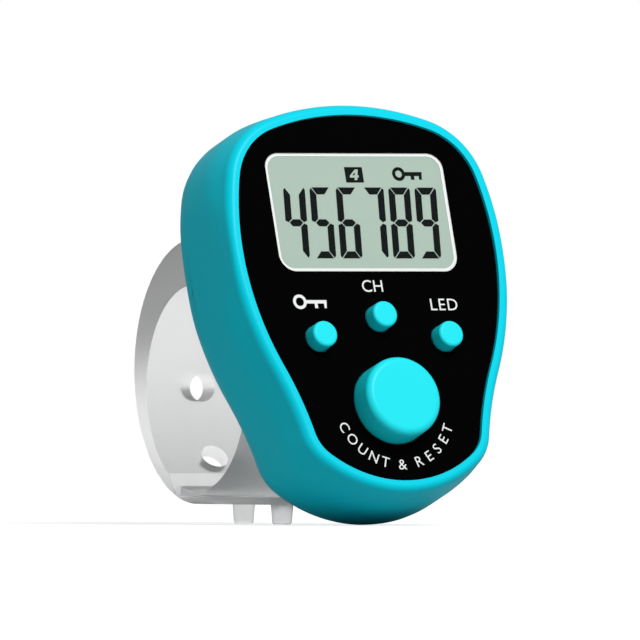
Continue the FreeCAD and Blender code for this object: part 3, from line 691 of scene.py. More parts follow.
TEAL_CASE = Finish("teal_case", (0.0, 0.70, 0.86), (0.0, 0.66, 0.83), roughness=0.36, bump=0.03,
                   specular=0.15)
TEAL_KEY = Finish("teal_key", (0.012, 0.84, 0.93), (0.008, 0.79, 0.90), roughness=0.38, bump=0.03,
                  specular=0.2)
BLACK_PANEL = Finish("black_panel", (0.0015, 0.0015, 0.0015), (0.002, 0.002, 0.002),
                     roughness=0.55, specular=0.0, bump=0.0)
CLEAR_PANE = Finish("clear_pane", (0.95, 0.98, 0.97), (0.9, 0.95, 0.94), roughness=0.1,
                    alpha=0.004, bump=0.0, specular=0.05)
DISPLAY_GREY = Finish("display_grey", (0.42, 0.54, 0.46), (0.45, 0.56, 0.49), roughness=0.5,
                      flow=300.0, mottle=0.25, specular=0.1)
DISPLAY_BLACK = Finish("display_black", (0.003, 0.005, 0.005), (0.005, 0.007, 0.007),
                       roughness=0.6, specular=0.0, bump=0.0)
PRINT_WHITE = Finish("print_white", (0.86, 0.87, 0.86), (0.78, 0.79, 0.78), roughness=0.5,
                     specular=0.2, flow=900.0)
BORDER_WHITE = Finish("border_white", (0.93, 0.95, 0.94), (0.86, 0.9, 0.88), roughness=0.4,
                      specular=0.2, flow=500.0)
# The strap and the saddle are the same milky ring plastic. The saddle's copy below is a little
# greyer and less clear: painted shade for its gussets, which sit in the case's shadow.
CLEAR_BAND = Finish("clear_band", (0.97, 0.97, 0.97), (0.95, 0.95, 0.95), roughness=0.4,
                    flow=90.0, transmission=0.93, index=1.2, specular=0.3)
CLEAR_BASE_SHADED = Finish("clear_base_painted_shade", (0.93, 0.94, 0.94), (0.89, 0.9, 0.9), roughness=0.4,
                    flow=90.0, transmission=0.88, index=1.2, specular=0.3)
WHITE_PLASTIC = Finish("white_plastic", (0.8, 0.8, 0.77), (0.72, 0.72, 0.7), roughness=0.45)
BLACK_RESIN = Finish("black_resin", (0.02, 0.02, 0.022), (0.04, 0.04, 0.042), roughness=0.4)
GREEN_BOARD = Finish("green_board", (0.01, 0.16, 0.06), (0.02, 0.22, 0.08), roughness=0.35,
                     flow=600.0, mottle=0.5)
STEEL = Finish("steel", (0.62, 0.62, 0.61), (0.5, 0.5, 0.5), roughness=0.28, metallic=1.0)
CELL_STEEL = Finish("cell_steel", (0.7, 0.7, 0.69), (0.6, 0.6, 0.6), roughness=0.22, metallic=1.0)
PINK_ELASTOMER = Finish("pink_elastomer", (0.55, 0.4, 0.4), (0.45, 0.32, 0.33), roughness=0.6)
WARM_LED = Finish("warm_led", (0.85, 0.8, 0.45), (0.8, 0.75, 0.5), roughness=0.3)
TAN_CERAMIC = Finish("tan_ceramic", (0.45, 0.3, 0.16), (0.38, 0.26, 0.15), roughness=0.5)
PALE_GUIDE = Finish("pale_guide", (0.82, 0.86, 0.82), (0.76, 0.8, 0.76), roughness=0.3)


def dress(piece: Piece, finish: Finish) -> None:
    """Give a piece one finish all over."""
    piece.data.materials.clear()
    piece.data.materials.append(finish.material())


def hand_over(piece: Piece, place: Matrix, finish: Finish, body: Body,
              nodes: Sequence[str] = ()) -> None:
    """Place and dress a finished piece and set what it rides on and stands for.

    Args:
        piece: The finished mesh, in millimetres.
        place: Its place.
        finish: Its finish.
        body: The body that it moves with.
        nodes: CAD nodes that it replaces.
    """
    Bench.settle(piece, place)
    dress(piece, finish)
    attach(piece, body.value)
    if nodes:
        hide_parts(*nodes)
    LOG.info("%s: %d faces, rides on %s", piece.name, len(piece.data.polygons), body.value)


# ---------------------------------------------------------------- sub-assemblies


@dataclass
class Key:
    """One push key: where it stands and how large it is, in mm."""

    name: str
    body: Body
    across: float
    up: float
    radius: float
    proud: float
    rounding: float
    taper: float
    flange_lip: float = 0.6
    flange_top: float = -2.05
    flange_thickness: float = 0.7
    stem_radius: float = 1.0
    stem_end: float = -4.1
    sides: int = 128
    round_steps: int = 8

    def build(self, axes: CaseAxes) -> None:
        """Turn, flange and place the key.

        Args:
            axes: The case's axes.
        """
        key = Bench.cylinder(f"{self.name}_key_cap", self.radius, -self.flange_top,
                             (0, 0, self.flange_top / 2), self.sides)
        flange = self.radius + self.flange_lip
        Bench.pick_faces(key, lambda face: face.normal.z < -FACING)
        Bench.extrude(0)
        grow = flange / self.radius
        bpy.ops.transform.resize(value=(grow, grow, 1))
        Bench.extrude(-self.flange_thickness)
        bpy.ops.mesh.inset(thickness=flange - self.stem_radius)
        Bench.extrude(self.stem_end - self.flange_top + self.flange_thickness)
        bpy.ops.object.mode_set(mode="OBJECT")
        lowest = self.flange_top + NEAR
        Bench.pick_faces(key, lambda face: face.normal.z > FACING and face.center.z > lowest)
        Bench.extrude(self.proud)
        shrink = (self.radius - self.proud * math.tan(self.taper)) / self.radius
        bpy.ops.transform.resize(value=(shrink, shrink, 1))
        bpy.ops.object.mode_set(mode="OBJECT")
        Bench.bevel_edges(key, lambda one, other: min(one.z, other.z) > self.proud - NEAR,
                          self.rounding, self.round_steps)
        Bench.outward(key)
        Bench.smooth(key, SHARP_TURN)
        hand_over(key, axes.to_row @ Matrix.Translation((self.across, self.up, 0)), TEAL_KEY,
                  self.body, [f"{self.name}_button"])


@dataclass
class KeyPad:
    """The four keys of the face."""

    count_drop: float = 11.1
    channel_drop: float = 1.95
    key_spread: float = 7.3
    key_drop: float = 4.07
    count_radius: float = 4.25
    key_radius: float = 1.4
    count_rounding: float = 0.7
    key_rounding: float = 0.3
    taper: float = math.radians(1)
    clearance: float = 0.15
    plug_depth: float = 8.0
    plug_sides: int = 96

    def places(self) -> list[tuple[str, Body, float, float, float, float]]:
        """List each key's name, body, place across and up, radius and rounding."""
        small = self.key_radius, self.key_rounding
        return [("count", Body.COUNT, 0.0, -self.count_drop, self.count_radius,
                 self.count_rounding),
                ("channel", Body.CHANNEL, 0.0, -self.channel_drop, *small),
                ("lock", Body.LOCK, -self.key_spread, -self.key_drop, *small),
                ("led", Body.LED, self.key_spread, -self.key_drop, *small)]

    def keys(self, axes: CaseAxes) -> list[Key]:
        """List the keys, with their heights read from the frame.

        Args:
            axes: The case's axes.

        Returns:
            The keys.
        """
        return [Key(name, body, across, up, radius, axes.span(f"{name}_button", 2)[1],
                    rounding, self.taper)
                for name, body, across, up, radius, rounding in self.places()]

    def cutters(self) -> list[Piece]:
        """Make the plugs that open the key holes.

        Returns:
            One closed plug for each hole.
        """
        return [Bench.cylinder(f"{name}_plug", radius + self.clearance, self.plug_depth,
                               (across, up, 0), self.plug_sides)
                for name, _, across, up, radius, _ in self.places()]

    def build(self, axes: CaseAxes) -> None:
        """Build every key."""
        for key in self.keys(axes):
            key.build(axes)


@dataclass
class Shells:
    """Front housing and rear cover."""

    outline: LensOutline
    pad: KeyPad
    rim_proud: float = 0.35
    rim_start: float = 0.42
    rim_reach: float = 0.85
    rim_round: float = 1.2
    swell: float = 0.5
    swell_run: float = 4.0
    taper_start: float = 8.0
    taper_run: float = 3.2
    round_steps: int = 12
    wall_step: float = 0.75
    wall_rest: float = 0.5
    soft_limit: float = 0.6
    half_width: float = 16.0
    panel_thickness: float = 0.8
    front_wall: float = 1.2
    front_depth: float = 9.0
    cavity_inset: float = 0.3
    cover_thickness: float = 2.2
    cover_round: float = 1.3
    cover_steps: int = 10
    cover_taper: float = 0.9
    seam: float = 0.08
    plateau_radius: float = 12.0
    plateau_height: float = 3.0
    plateau_round: float = 0.8
    plateau_rise: float = -0.25
    plateau_sink: float = 0.3
    plateau_sides: int = 192
    plateau_steps: int = 6
    cell_radius: float = 10.5
    cell_back: float = -12.7
    cell_front: float = -5.0
    cell_sides: int = 128
    seat_radius: float = 1.7
    seat_depth: float = 1.8
    spare: float = 1.0
    window_inset: float = 0.7

    def grown(self, reach: float, inset: float = 0.0) -> list[Vector]:
        """Walk the outline grown by a reach, kept within the case's half width.

        Args:
            reach: Distance outwards from the panel's edge.
            inset: Distance by which the whole outline is then drawn in.

        Returns:
            Points in the plane of the face.
        """
        soft = self.soft_limit
        start = self.half_width - inset - soft
        points = []
        for point in self.outline.points(reach - inset):
            beyond = abs(point.x) - start
            if beyond > 0:
                kept = start + soft * math.tanh(beyond / soft)
                point = Vector((math.copysign(kept, point.x), point.y))
            points.append(point)
        return points

    def reach_at(self, depth: float) -> float:
        """Tell how far the side wall stands out beyond the panel's edge at a depth.

        Args:
            depth: Distance back from the panel's face.

        Returns:
            The reach, in mm.
        """
        share = min(1.0, max(0.0, (depth - self.rim_reach) / self.swell_run))
        bulge = self.swell * math.sin(share * math.pi / 2)
        taper = self.cover_taper * max(0.0, (depth - self.taper_start) / self.taper_run) ** 2
        return self.rim_start + self.rim_reach + bulge - taper

    def front(self, axes: CaseAxes) -> None:
        """Model the front housing: swelling side wall, rounded rim, recess and openings."""
        loops = []
        for index in range(self.round_steps + 1):
            turn = math.pi / 2 * index / self.round_steps
            level = self.rim_proud - self.rim_round * (1 - math.cos(turn))
            loops.append((level, self.grown(self.rim_start + self.rim_reach * math.sin(turn))))
        depth = self.rim_round - self.rim_proud
        while depth < self.front_depth - self.seam - self.wall_rest:
            depth += self.wall_step
            loops.append((-depth, self.grown(self.reach_at(depth))))
        last = self.reach_at(self.front_depth)
        loops.append((self.seam - self.front_depth, self.grown(last)))
        loops.append((-self.front_depth, self.grown(last, self.seam)))
        shell = Bench.column("front_shell", loops)
        Bench.cut(shell, Bench.prism("recess", self.outline.points(0.0),
                                     -self.panel_thickness, 3 * self.spare))
        ceiling = -self.panel_thickness - self.front_wall
        Bench.cut(shell, Bench.prism("cavity", self.outline.points(-self.cavity_inset),
                                     -self.front_depth - self.spare, ceiling))
        opening = Face(self.outline, self.pad).window(self.window_inset)
        Bench.cut(shell, Bench.prism("display_opening", opening, ceiling - self.spare,
                                     self.spare))
        for plug in self.pad.cutters():
            Bench.cut(shell, plug)
        Bench.outward(shell)
        Bench.smooth(shell)
        hand_over(shell, axes.to_row, TEAL_CASE, Body.CASE, ["front_housing"])

    def rear(self, axes: CaseAxes) -> None:
        """Model the rear cover with its round plateau, cell well and sunk screw seats."""
        back = -self.front_depth - self.cover_thickness
        first = self.reach_at(self.front_depth)
        loops = [(-self.front_depth, self.grown(first, self.seam)),
                 (-self.front_depth - self.seam, self.grown(first))]
        for index in range(self.cover_steps + 1):
            turn = math.pi / 2 * index / self.cover_steps
            level = back + self.cover_round * (1 - math.sin(turn))
            drawn_in = self.cover_round * (1 - math.cos(turn))
            loops.append((level, self.grown(self.reach_at(-level), drawn_in)))
        cover = Bench.column("back_shell", loops)
        height = self.plateau_height + self.plateau_sink
        plateau = Bench.cylinder(
            "plateau", self.plateau_radius, height,
            (0, self.plateau_rise, back + self.plateau_sink - height / 2), self.plateau_sides)
        floor = back - self.plateau_height
        Bench.bevel_edges(plateau, lambda one, other: max(one.z, other.z) < floor + NEAR,
                          self.plateau_round, self.plateau_steps)
        Bench.cut(cover, plateau, "UNION")
        well = ring_points(self.cell_radius, Vector((0, self.plateau_rise)), self.cell_sides)
        Bench.cut(cover, Bench.prism("cell_well", well, self.cell_back, self.cell_front))
        for across, up in Screws().cover_places():
            Bench.cut(cover, Bench.cylinder("seat", self.seat_radius, self.seat_depth,
                                            (across, up, back)))
        Bench.outward(cover)
        Bench.smooth(cover)
        hand_over(cover, axes.to_row, TEAL_CASE, Body.CASE, ["rear_cover"])

    def build(self, axes: CaseAxes) -> None:
        """Build both shells."""
        self.front(axes)
        self.rear(axes)


@dataclass
class Screws:
    """Cross-head screws that close the rear cover."""

    upper_spread: float = 12.9
    upper_rise: float = 9.48
    lower_spread: float = 7.8
    lower_drop: float = 13.3
    head_radius: float = 1.5
    head_height: float = 0.8
    seat: float = -10.3
    slot_length: float = 1.7
    slot_width: float = 0.36
    slot_depth: float = 0.4
    head_round: float = 0.3
    round_steps: int = 5

    def cover_places(self) -> list[Spot]:
        """List the four screw places on the cover."""
        return [(-self.upper_spread, self.upper_rise), (self.upper_spread, self.upper_rise),
                (-self.lower_spread, -self.lower_drop), (self.lower_spread, -self.lower_drop)]

    def build(self, axes: CaseAxes) -> None:
        """Model one head with its cross and copy it to each place."""
        names = ["upper_left", "upper_right", "lower_left", "lower_right"]
        floor = self.seat - self.head_height
        head = Bench.cylinder("screw_pattern", self.head_radius, self.head_height,
                              (0, 0, self.seat - self.head_height / 2))
        Bench.bevel_edges(head, lambda one, other: max(one.z, other.z) < floor + NEAR,
                          self.head_round, self.round_steps)
        for turn in (0.0, math.pi / 2):
            Bench.deselect()
            bpy.ops.mesh.primitive_cube_add(size=1, location=(0, 0, floor),
                                            rotation=(0, 0, turn))
            slot = Bench.start("slot")
            slot.scale = (self.slot_length, self.slot_width, 2 * self.slot_depth)
            bpy.ops.object.transform_apply(location=True, rotation=True, scale=True)
            Bench.cut(head, slot)
        Bench.outward(head)
        Bench.smooth(head)
        for name, (across, up) in zip(names, self.cover_places()):
            screw = head.copy()
            screw.data = head.data.copy()
            screw.name = f"cover_screw_head_{name}"
            bpy.context.scene.collection.objects.link(screw)
            hand_over(screw, axes.to_row @ Matrix.Translation((across, up, 0)), STEEL,
                      Body.CASE, [f"cover_screw_{name}"])
        bpy.data.objects.remove(head, do_unlink=True)


@dataclass
class Face:
    """The black panel, the clear pane and its printed pale border."""

    outline: LensOutline
    pad: KeyPad
    thickness: float = 0.8
    pane_thickness: float = 0.25
    clearance: float = 0.05
    edge_round: float = 0.03
    window_width: float = 20.8
    window_height: float = 12.8
    window_rise: float = 9.48
    window_corner: float = 1.8
    border: float = 0.34
    border_gap: float = 0.005
    border_thickness: float = 0.03
    glass_front: float = -0.3
    spare: float = 1.0

    def middle(self) -> Vector:
        """Return the centre of the display window."""
        return Vector((0, self.window_rise))

    def window(self, inset: float) -> list[Vector]:
        """Walk the window's edge, drawn in by an inset."""
        return round_rectangle(self.window_width - 2 * inset, self.window_height - 2 * inset,
                               self.window_corner - inset, self.middle())

    def panel(self, axes: CaseAxes) -> None:
        """Model the black panel with its openings."""
        plate = Bench.prism("panel_plate", self.outline.points(-self.clearance),
                            -self.thickness, 0.0)
        opening = Bench.prism("opening", self.window(0.0), -2 * self.spare, self.spare)
        Bench.cut(plate, opening)
        for plug in self.pad.cutters():
            Bench.cut(plate, plug)
        Bench.outward(plate)
        Bench.soften(plate, self.edge_round, 1)
        hand_over(plate, axes.to_row, BLACK_PANEL, Body.CASE, ["face_panel"])

    def pane(self, axes: CaseAxes) -> None:
        """Model the clear pane, its border and the display face behind it."""
        pane = Bench.prism("window_pane", self.window(self.clearance),
                           -self.pane_thickness, 0.0)
        Bench.soften(pane, self.edge_round, 1)
        hand_over(pane, axes.to_row, CLEAR_PANE, Body.CASE, ["display_window"])

        border = Bench.plate("window_border", self.window(self.clearance),
                             -self.pane_thickness - self.border_gap)
        Bench.pick_faces(border, lambda face: True)
        bpy.ops.mesh.inset(thickness=self.border, use_even_offset=True)
        bpy.ops.mesh.delete(type="FACE")
        bpy.ops.mesh.select_all(action="SELECT")
        Bench.extrude(-self.border_thickness)
        bpy.ops.object.mode_set(mode="OBJECT")
        Bench.outward(border)
        hand_over(border, axes.to_row, BORDER_WHITE, Body.CASE)

        backing = Bench.prism("display_face", self.window(self.clearance), -self.thickness,
                              self.glass_front)
        hand_over(backing, axes.to_row, DISPLAY_GREY, Body.CASE, ["lcd_front_glass"])

    def build(self, axes: CaseAxes) -> None:
        """Build panel and pane."""
        self.panel(axes)
        self.pane(axes)


class Segment(Enum):
    """The seven strokes of a display digit."""

    TOP = "a"
    UPPER_RIGHT = "b"
    LOWER_RIGHT = "c"
    BOTTOM = "d"
    LOWER_LEFT = "e"
    UPPER_LEFT = "f"
    MIDDLE = "g"


@dataclass
class Readout:
    """What the display shows: six digits, a boxed channel number and a key sign."""

    value: str = "456789"
    pitch: float = 3.05
    first_centre: float = -7.63
    centre_height: float = 8.36
    height: float = 7.6
    width: float = 2.5
    stroke: float = 0.74
    gap: float = 0.1
    slant: float = 0.087
    level: float = -0.285
    thickness: float = 0.012
    tip: float = 0.12
    shoulder_drop: float = 0.28
    shoulder_in: float = 0.16
    shoulder_nick: float = 0.06
    box_width: float = 2.05
    box_height: float = 1.65
    box_corner: float = 0.05
    box_middle: Vector = field(default_factory=lambda: Vector((-0.08, 13.52)))
    number_middle: Vector = field(default_factory=lambda: Vector((-0.22, 12.95)))
    number_slant: float = 0.2
    strokes: dict[str, str] = field(default_factory=lambda: {
        "4": "bcfg", "5": "acdfg", "6": "acdefg", "7": "abc", "8": "abcdefg", "9": "abcdfg"})

    def stroke_points(self, segment: Segment) -> list[Vector]:
        """Give the mitred outline of one stroke about the digit's centre.

        Args:
            segment: Which stroke.

        Returns:
            Its corners, anticlockwise.
        """
        half_width, half_height = self.width / 2, self.height / 2
        thick, gap = self.stroke, self.gap
        inner_x, inner_y = half_width - thick, half_height - thick
        if segment in (Segment.TOP, Segment.BOTTOM):
            flip = 1 if segment is Segment.TOP else -1
            corners = [(-half_width + gap * 1.4 + self.tip, half_height),
                       (-inner_x + gap * 0.7, inner_y), (inner_x - gap * 0.7, inner_y),
                       (half_width - gap * 1.4 - self.tip, half_height)]
            points = [Vector((x, y * flip)) for x, y in corners]
            return points if flip == 1 else list(reversed(points))
        if segment is Segment.MIDDLE:
            half = thick / 2
            tip = half_width - thick / 2 - gap
            return [Vector(point) for point in
                    ((-tip, 0), (-inner_x + gap, -half), (inner_x - gap, -half), (tip, 0),
                     (inner_x - gap, half), (-inner_x + gap, half))]
        side = 1 if segment in (Segment.UPPER_RIGHT, Segment.LOWER_RIGHT) else -1
        rise = 1 if segment in (Segment.UPPER_RIGHT, Segment.UPPER_LEFT) else -1
        corners = [(half_width, gap * 1.2 + self.tip),
                   (half_width, half_height - self.shoulder_drop),
                   (half_width - self.shoulder_in, half_height - self.shoulder_nick),
                   (inner_x, inner_y - gap * 0.7), (inner_x, thick / 2 + gap * 0.6),
                   (half_width - thick / 2, gap * 0.7)]
        points = [Vector((x * side, y * rise)) for x, y in corners]
        return points if side * rise == 1 else list(reversed(points))

    def slanted(self, point: Vector, across: float) -> Vector:
        """Lean a point to the right with its height and move it to its digit."""
        return Vector((point.x + self.slant * point.y + across, point.y + self.centre_height))

    def chip(self, name: str, points: Sequence[Vector]) -> Piece:
        """Make one thin printed shape on the display's face."""
        return Bench.prism(name, points, self.level - self.thickness, self.level + self.thickness)

    def digits(self) -> list[Piece]:
        """Make every stroke that is lit.

        Returns:
            One thin prism for each stroke.
        """
        shapes = []
        for place, digit in enumerate(self.value):
            across = self.first_centre + place * self.pitch
            for segment in Segment:
                if segment.value in self.strokes[digit]:
                    points = [self.slanted(point, across)
                              for point in self.stroke_points(segment)]
                    shapes.append(self.chip(f"stroke_{place}{segment.value}", points))
        return shapes

    def box_number(self) -> Piece:
        """Cut a bold leaning 4 for the box.

        Returns:
            The thin number, in the case frame.
        """
        level = self.level + 2 * self.thickness
        outline = [(0.1, 0.0), (0.42, 0.0), (0.42, 0.26), (0.56, 0.26), (0.56, 0.5),
                   (0.42, 0.5), (0.42, 1.14), (0.08, 1.14), (-0.46, 0.5), (-0.46, 0.26),
                   (0.1, 0.26)]
        hole = [(0.1, 0.5), (0.1, 0.84), (-0.18, 0.5)]

        def leaned(points: Sequence[Spot]) -> list[Vector]:
            """Lean the number to the right with its height."""
            return [self.number_middle + Vector((x + self.number_slant * y, y))
                    for x, y in points]

        number = Bench.prism("display_box_number", leaned(outline), level - self.thickness,
                             level + self.thickness)
        Bench.cut(number, Bench.prism("counter", leaned(hole), level - 1, level + 1))
        return number

    def build(self, axes: CaseAxes) -> None:
        """Build the digits, the boxed number and the key sign."""
        box = self.chip("box", round_rectangle(self.box_width, self.box_height,
                                               self.box_corner, self.box_middle, 2))
        digits = Bench.join(self.digits() + [box], "display_digits")
        hand_over(digits, axes.to_row, DISPLAY_BLACK, Body.CASE)

        sign = KeySign(ring_middle=Vector((5.12, 13.62)), ring_radius=0.74, hole_radius=0.38,
                       reach=2.7, shaft=0.42, drop=0.4)
        key = sign.mesh("display_key_sign", self.level, self.thickness)
        hand_over(key, axes.to_row, DISPLAY_BLACK, Body.CASE)

        number = self.box_number()
        hand_over(number, axes.to_row, DISPLAY_GREY, Body.CASE)


@dataclass
class KeySign:
    """A small key drawn as a ring, a shaft and two teeth."""

    ring_middle: Vector
    ring_radius: float
    hole_radius: float
    reach: float
    shaft: float
    drop: float
    ring_share: float = 0.8
    tooth_share: float = 0.95
    teeth_apart: float = 0.35
    tip_cut: float = 0.1
    ring_sides: int = 48

    def mesh(self, name: str, level: float, thickness: float) -> Piece:
        """Model the sign as one thin shape.

        Args:
            name: Name of the piece.
            level: Level of its middle.
            thickness: Half its thickness.

        Returns:
            The joined mesh, in the case frame.
        """
        low, high = level - thickness, level + thickness
        ring = Bench.prism(name, ring_points(self.ring_radius, self.ring_middle,
                                             self.ring_sides), low, high)
        x, y = self.ring_middle
        start = x + self.ring_radius * self.ring_share
        end = x + self.reach
        tooth = self.shaft * self.tooth_share
        first = end - tooth - self.teeth_apart * self.reach
        upper, lower = y + self.shaft / 2, y - self.shaft / 2
        foot = lower - self.drop
        bar = [Vector(point) for point in (
            (start, lower), (first, lower), (first, foot), (first + tooth, foot),
            (first + tooth, lower), (end - tooth, lower), (end - tooth, foot),
            (end - self.tip_cut, foot), (end, upper), (start, upper))]
        Bench.cut(ring, Bench.prism("bar", bar, low, high), "UNION")
        hole = ring_points(self.hole_radius, self.ring_middle, self.ring_sides)
        Bench.cut(ring, Bench.prism("hole", hole, low - 1, high + 1))
        return ring


@dataclass
class Lettering:
    """A short plain word, set straight or round an arc."""

    text: str
    place: Vector
    height: float
    spacing: float = 1.0
    cap_share: float = 0.729
    curve_steps: int = 4

    def mesh(self, name: str, level: float, thickness: float, turn: float = 0.0) -> Piece:
        """Set the word as a thin mesh.

        Args:
            name: Name of the piece.
            level: Level of its underside.
            thickness: Its thickness.
            turn: Angle in the plane of the face.

        Returns:
            The mesh, in the case frame.
        """
        Bench.deselect()
        bpy.ops.object.text_add(location=(0, 0, 0))
        word = bpy.context.object
        word.data.body = self.text
        word.data.size = self.height / self.cap_share
        word.data.align_x = "CENTER"
        word.data.space_character = self.spacing
        word.data.resolution_u = self.curve_steps
        word.data.extrude = thickness / 2
        bpy.ops.object.convert(target="MESH")
        piece = Bench.start(name)
        place = Matrix.Translation((self.place.x, self.place.y, level + thickness / 2))
        piece.data.transform(place @ Matrix.Rotation(turn, 4, "Z"))
        return piece


@dataclass
class Labels:
    """Plain functional words and a key sign printed on the panel."""

    count_drop: float = 11.1
    level: float = 0.0
    thickness: float = 0.02
    cap_height: float = 1.32
    arc_radius: float = 7.02
    arc_height: float = 1.15
    arc_start: float = math.radians(196.4)
    arc_end: float = math.radians(341.3)
    arc_text: str = "COUNT & RESET"
    widths: dict[str, float] = field(default_factory=lambda: {
        "C": 1.05, "O": 1.12, "U": 1.05, "N": 1.05, "T": 0.95, "&": 1.05, " ": 0.42,
        "R": 1.05, "E": 0.98, "S": 0.98})

    def arc(self) -> list[Piece]:
        """Set one letter after another round the count key.

        Returns:
            The letters.
        """
        total = sum(self.widths[letter] for letter in self.arc_text)
        letters = []
        walked = 0.0
        for index, letter in enumerate(self.arc_text):
            share = (walked + self.widths[letter] / 2) / total
            walked += self.widths[letter]
            if letter == " ":
                continue
            angle = self.arc_start + (self.arc_end - self.arc_start) * share
            spot = polar(self.arc_radius, angle) - Vector((0, self.count_drop))
            word = Lettering(letter, spot, self.arc_height)
            letters.append(word.mesh(f"letter_{index}", self.level, self.thickness,
                                     angle + math.pi / 2))
        return letters

    def build(self, axes: CaseAxes) -> None:
        """Print every label on the panel."""
        words = [Lettering("CH", Vector((-0.15, 0.88)), self.cap_height),
                 Lettering("LED", Vector((7.78, -1.1)), self.cap_height, spacing=1.1)]
        pieces = [word.mesh(f"word_{word.text}", self.level, self.thickness) for word in words]
        print_piece = Bench.join(pieces + self.arc(), "panel_print")
        hand_over(print_piece, axes.to_row, PRINT_WHITE, Body.CASE)
        sign = KeySign(ring_middle=Vector((-8.85, -0.2)), ring_radius=0.78, hole_radius=0.46,
                       reach=3.1, shaft=0.36, drop=0.5)
        key = sign.mesh("panel_key_sign", self.level + self.thickness / 2, self.thickness / 2)
        hand_over(key, axes.to_row, PRINT_WHITE, Body.CASE)


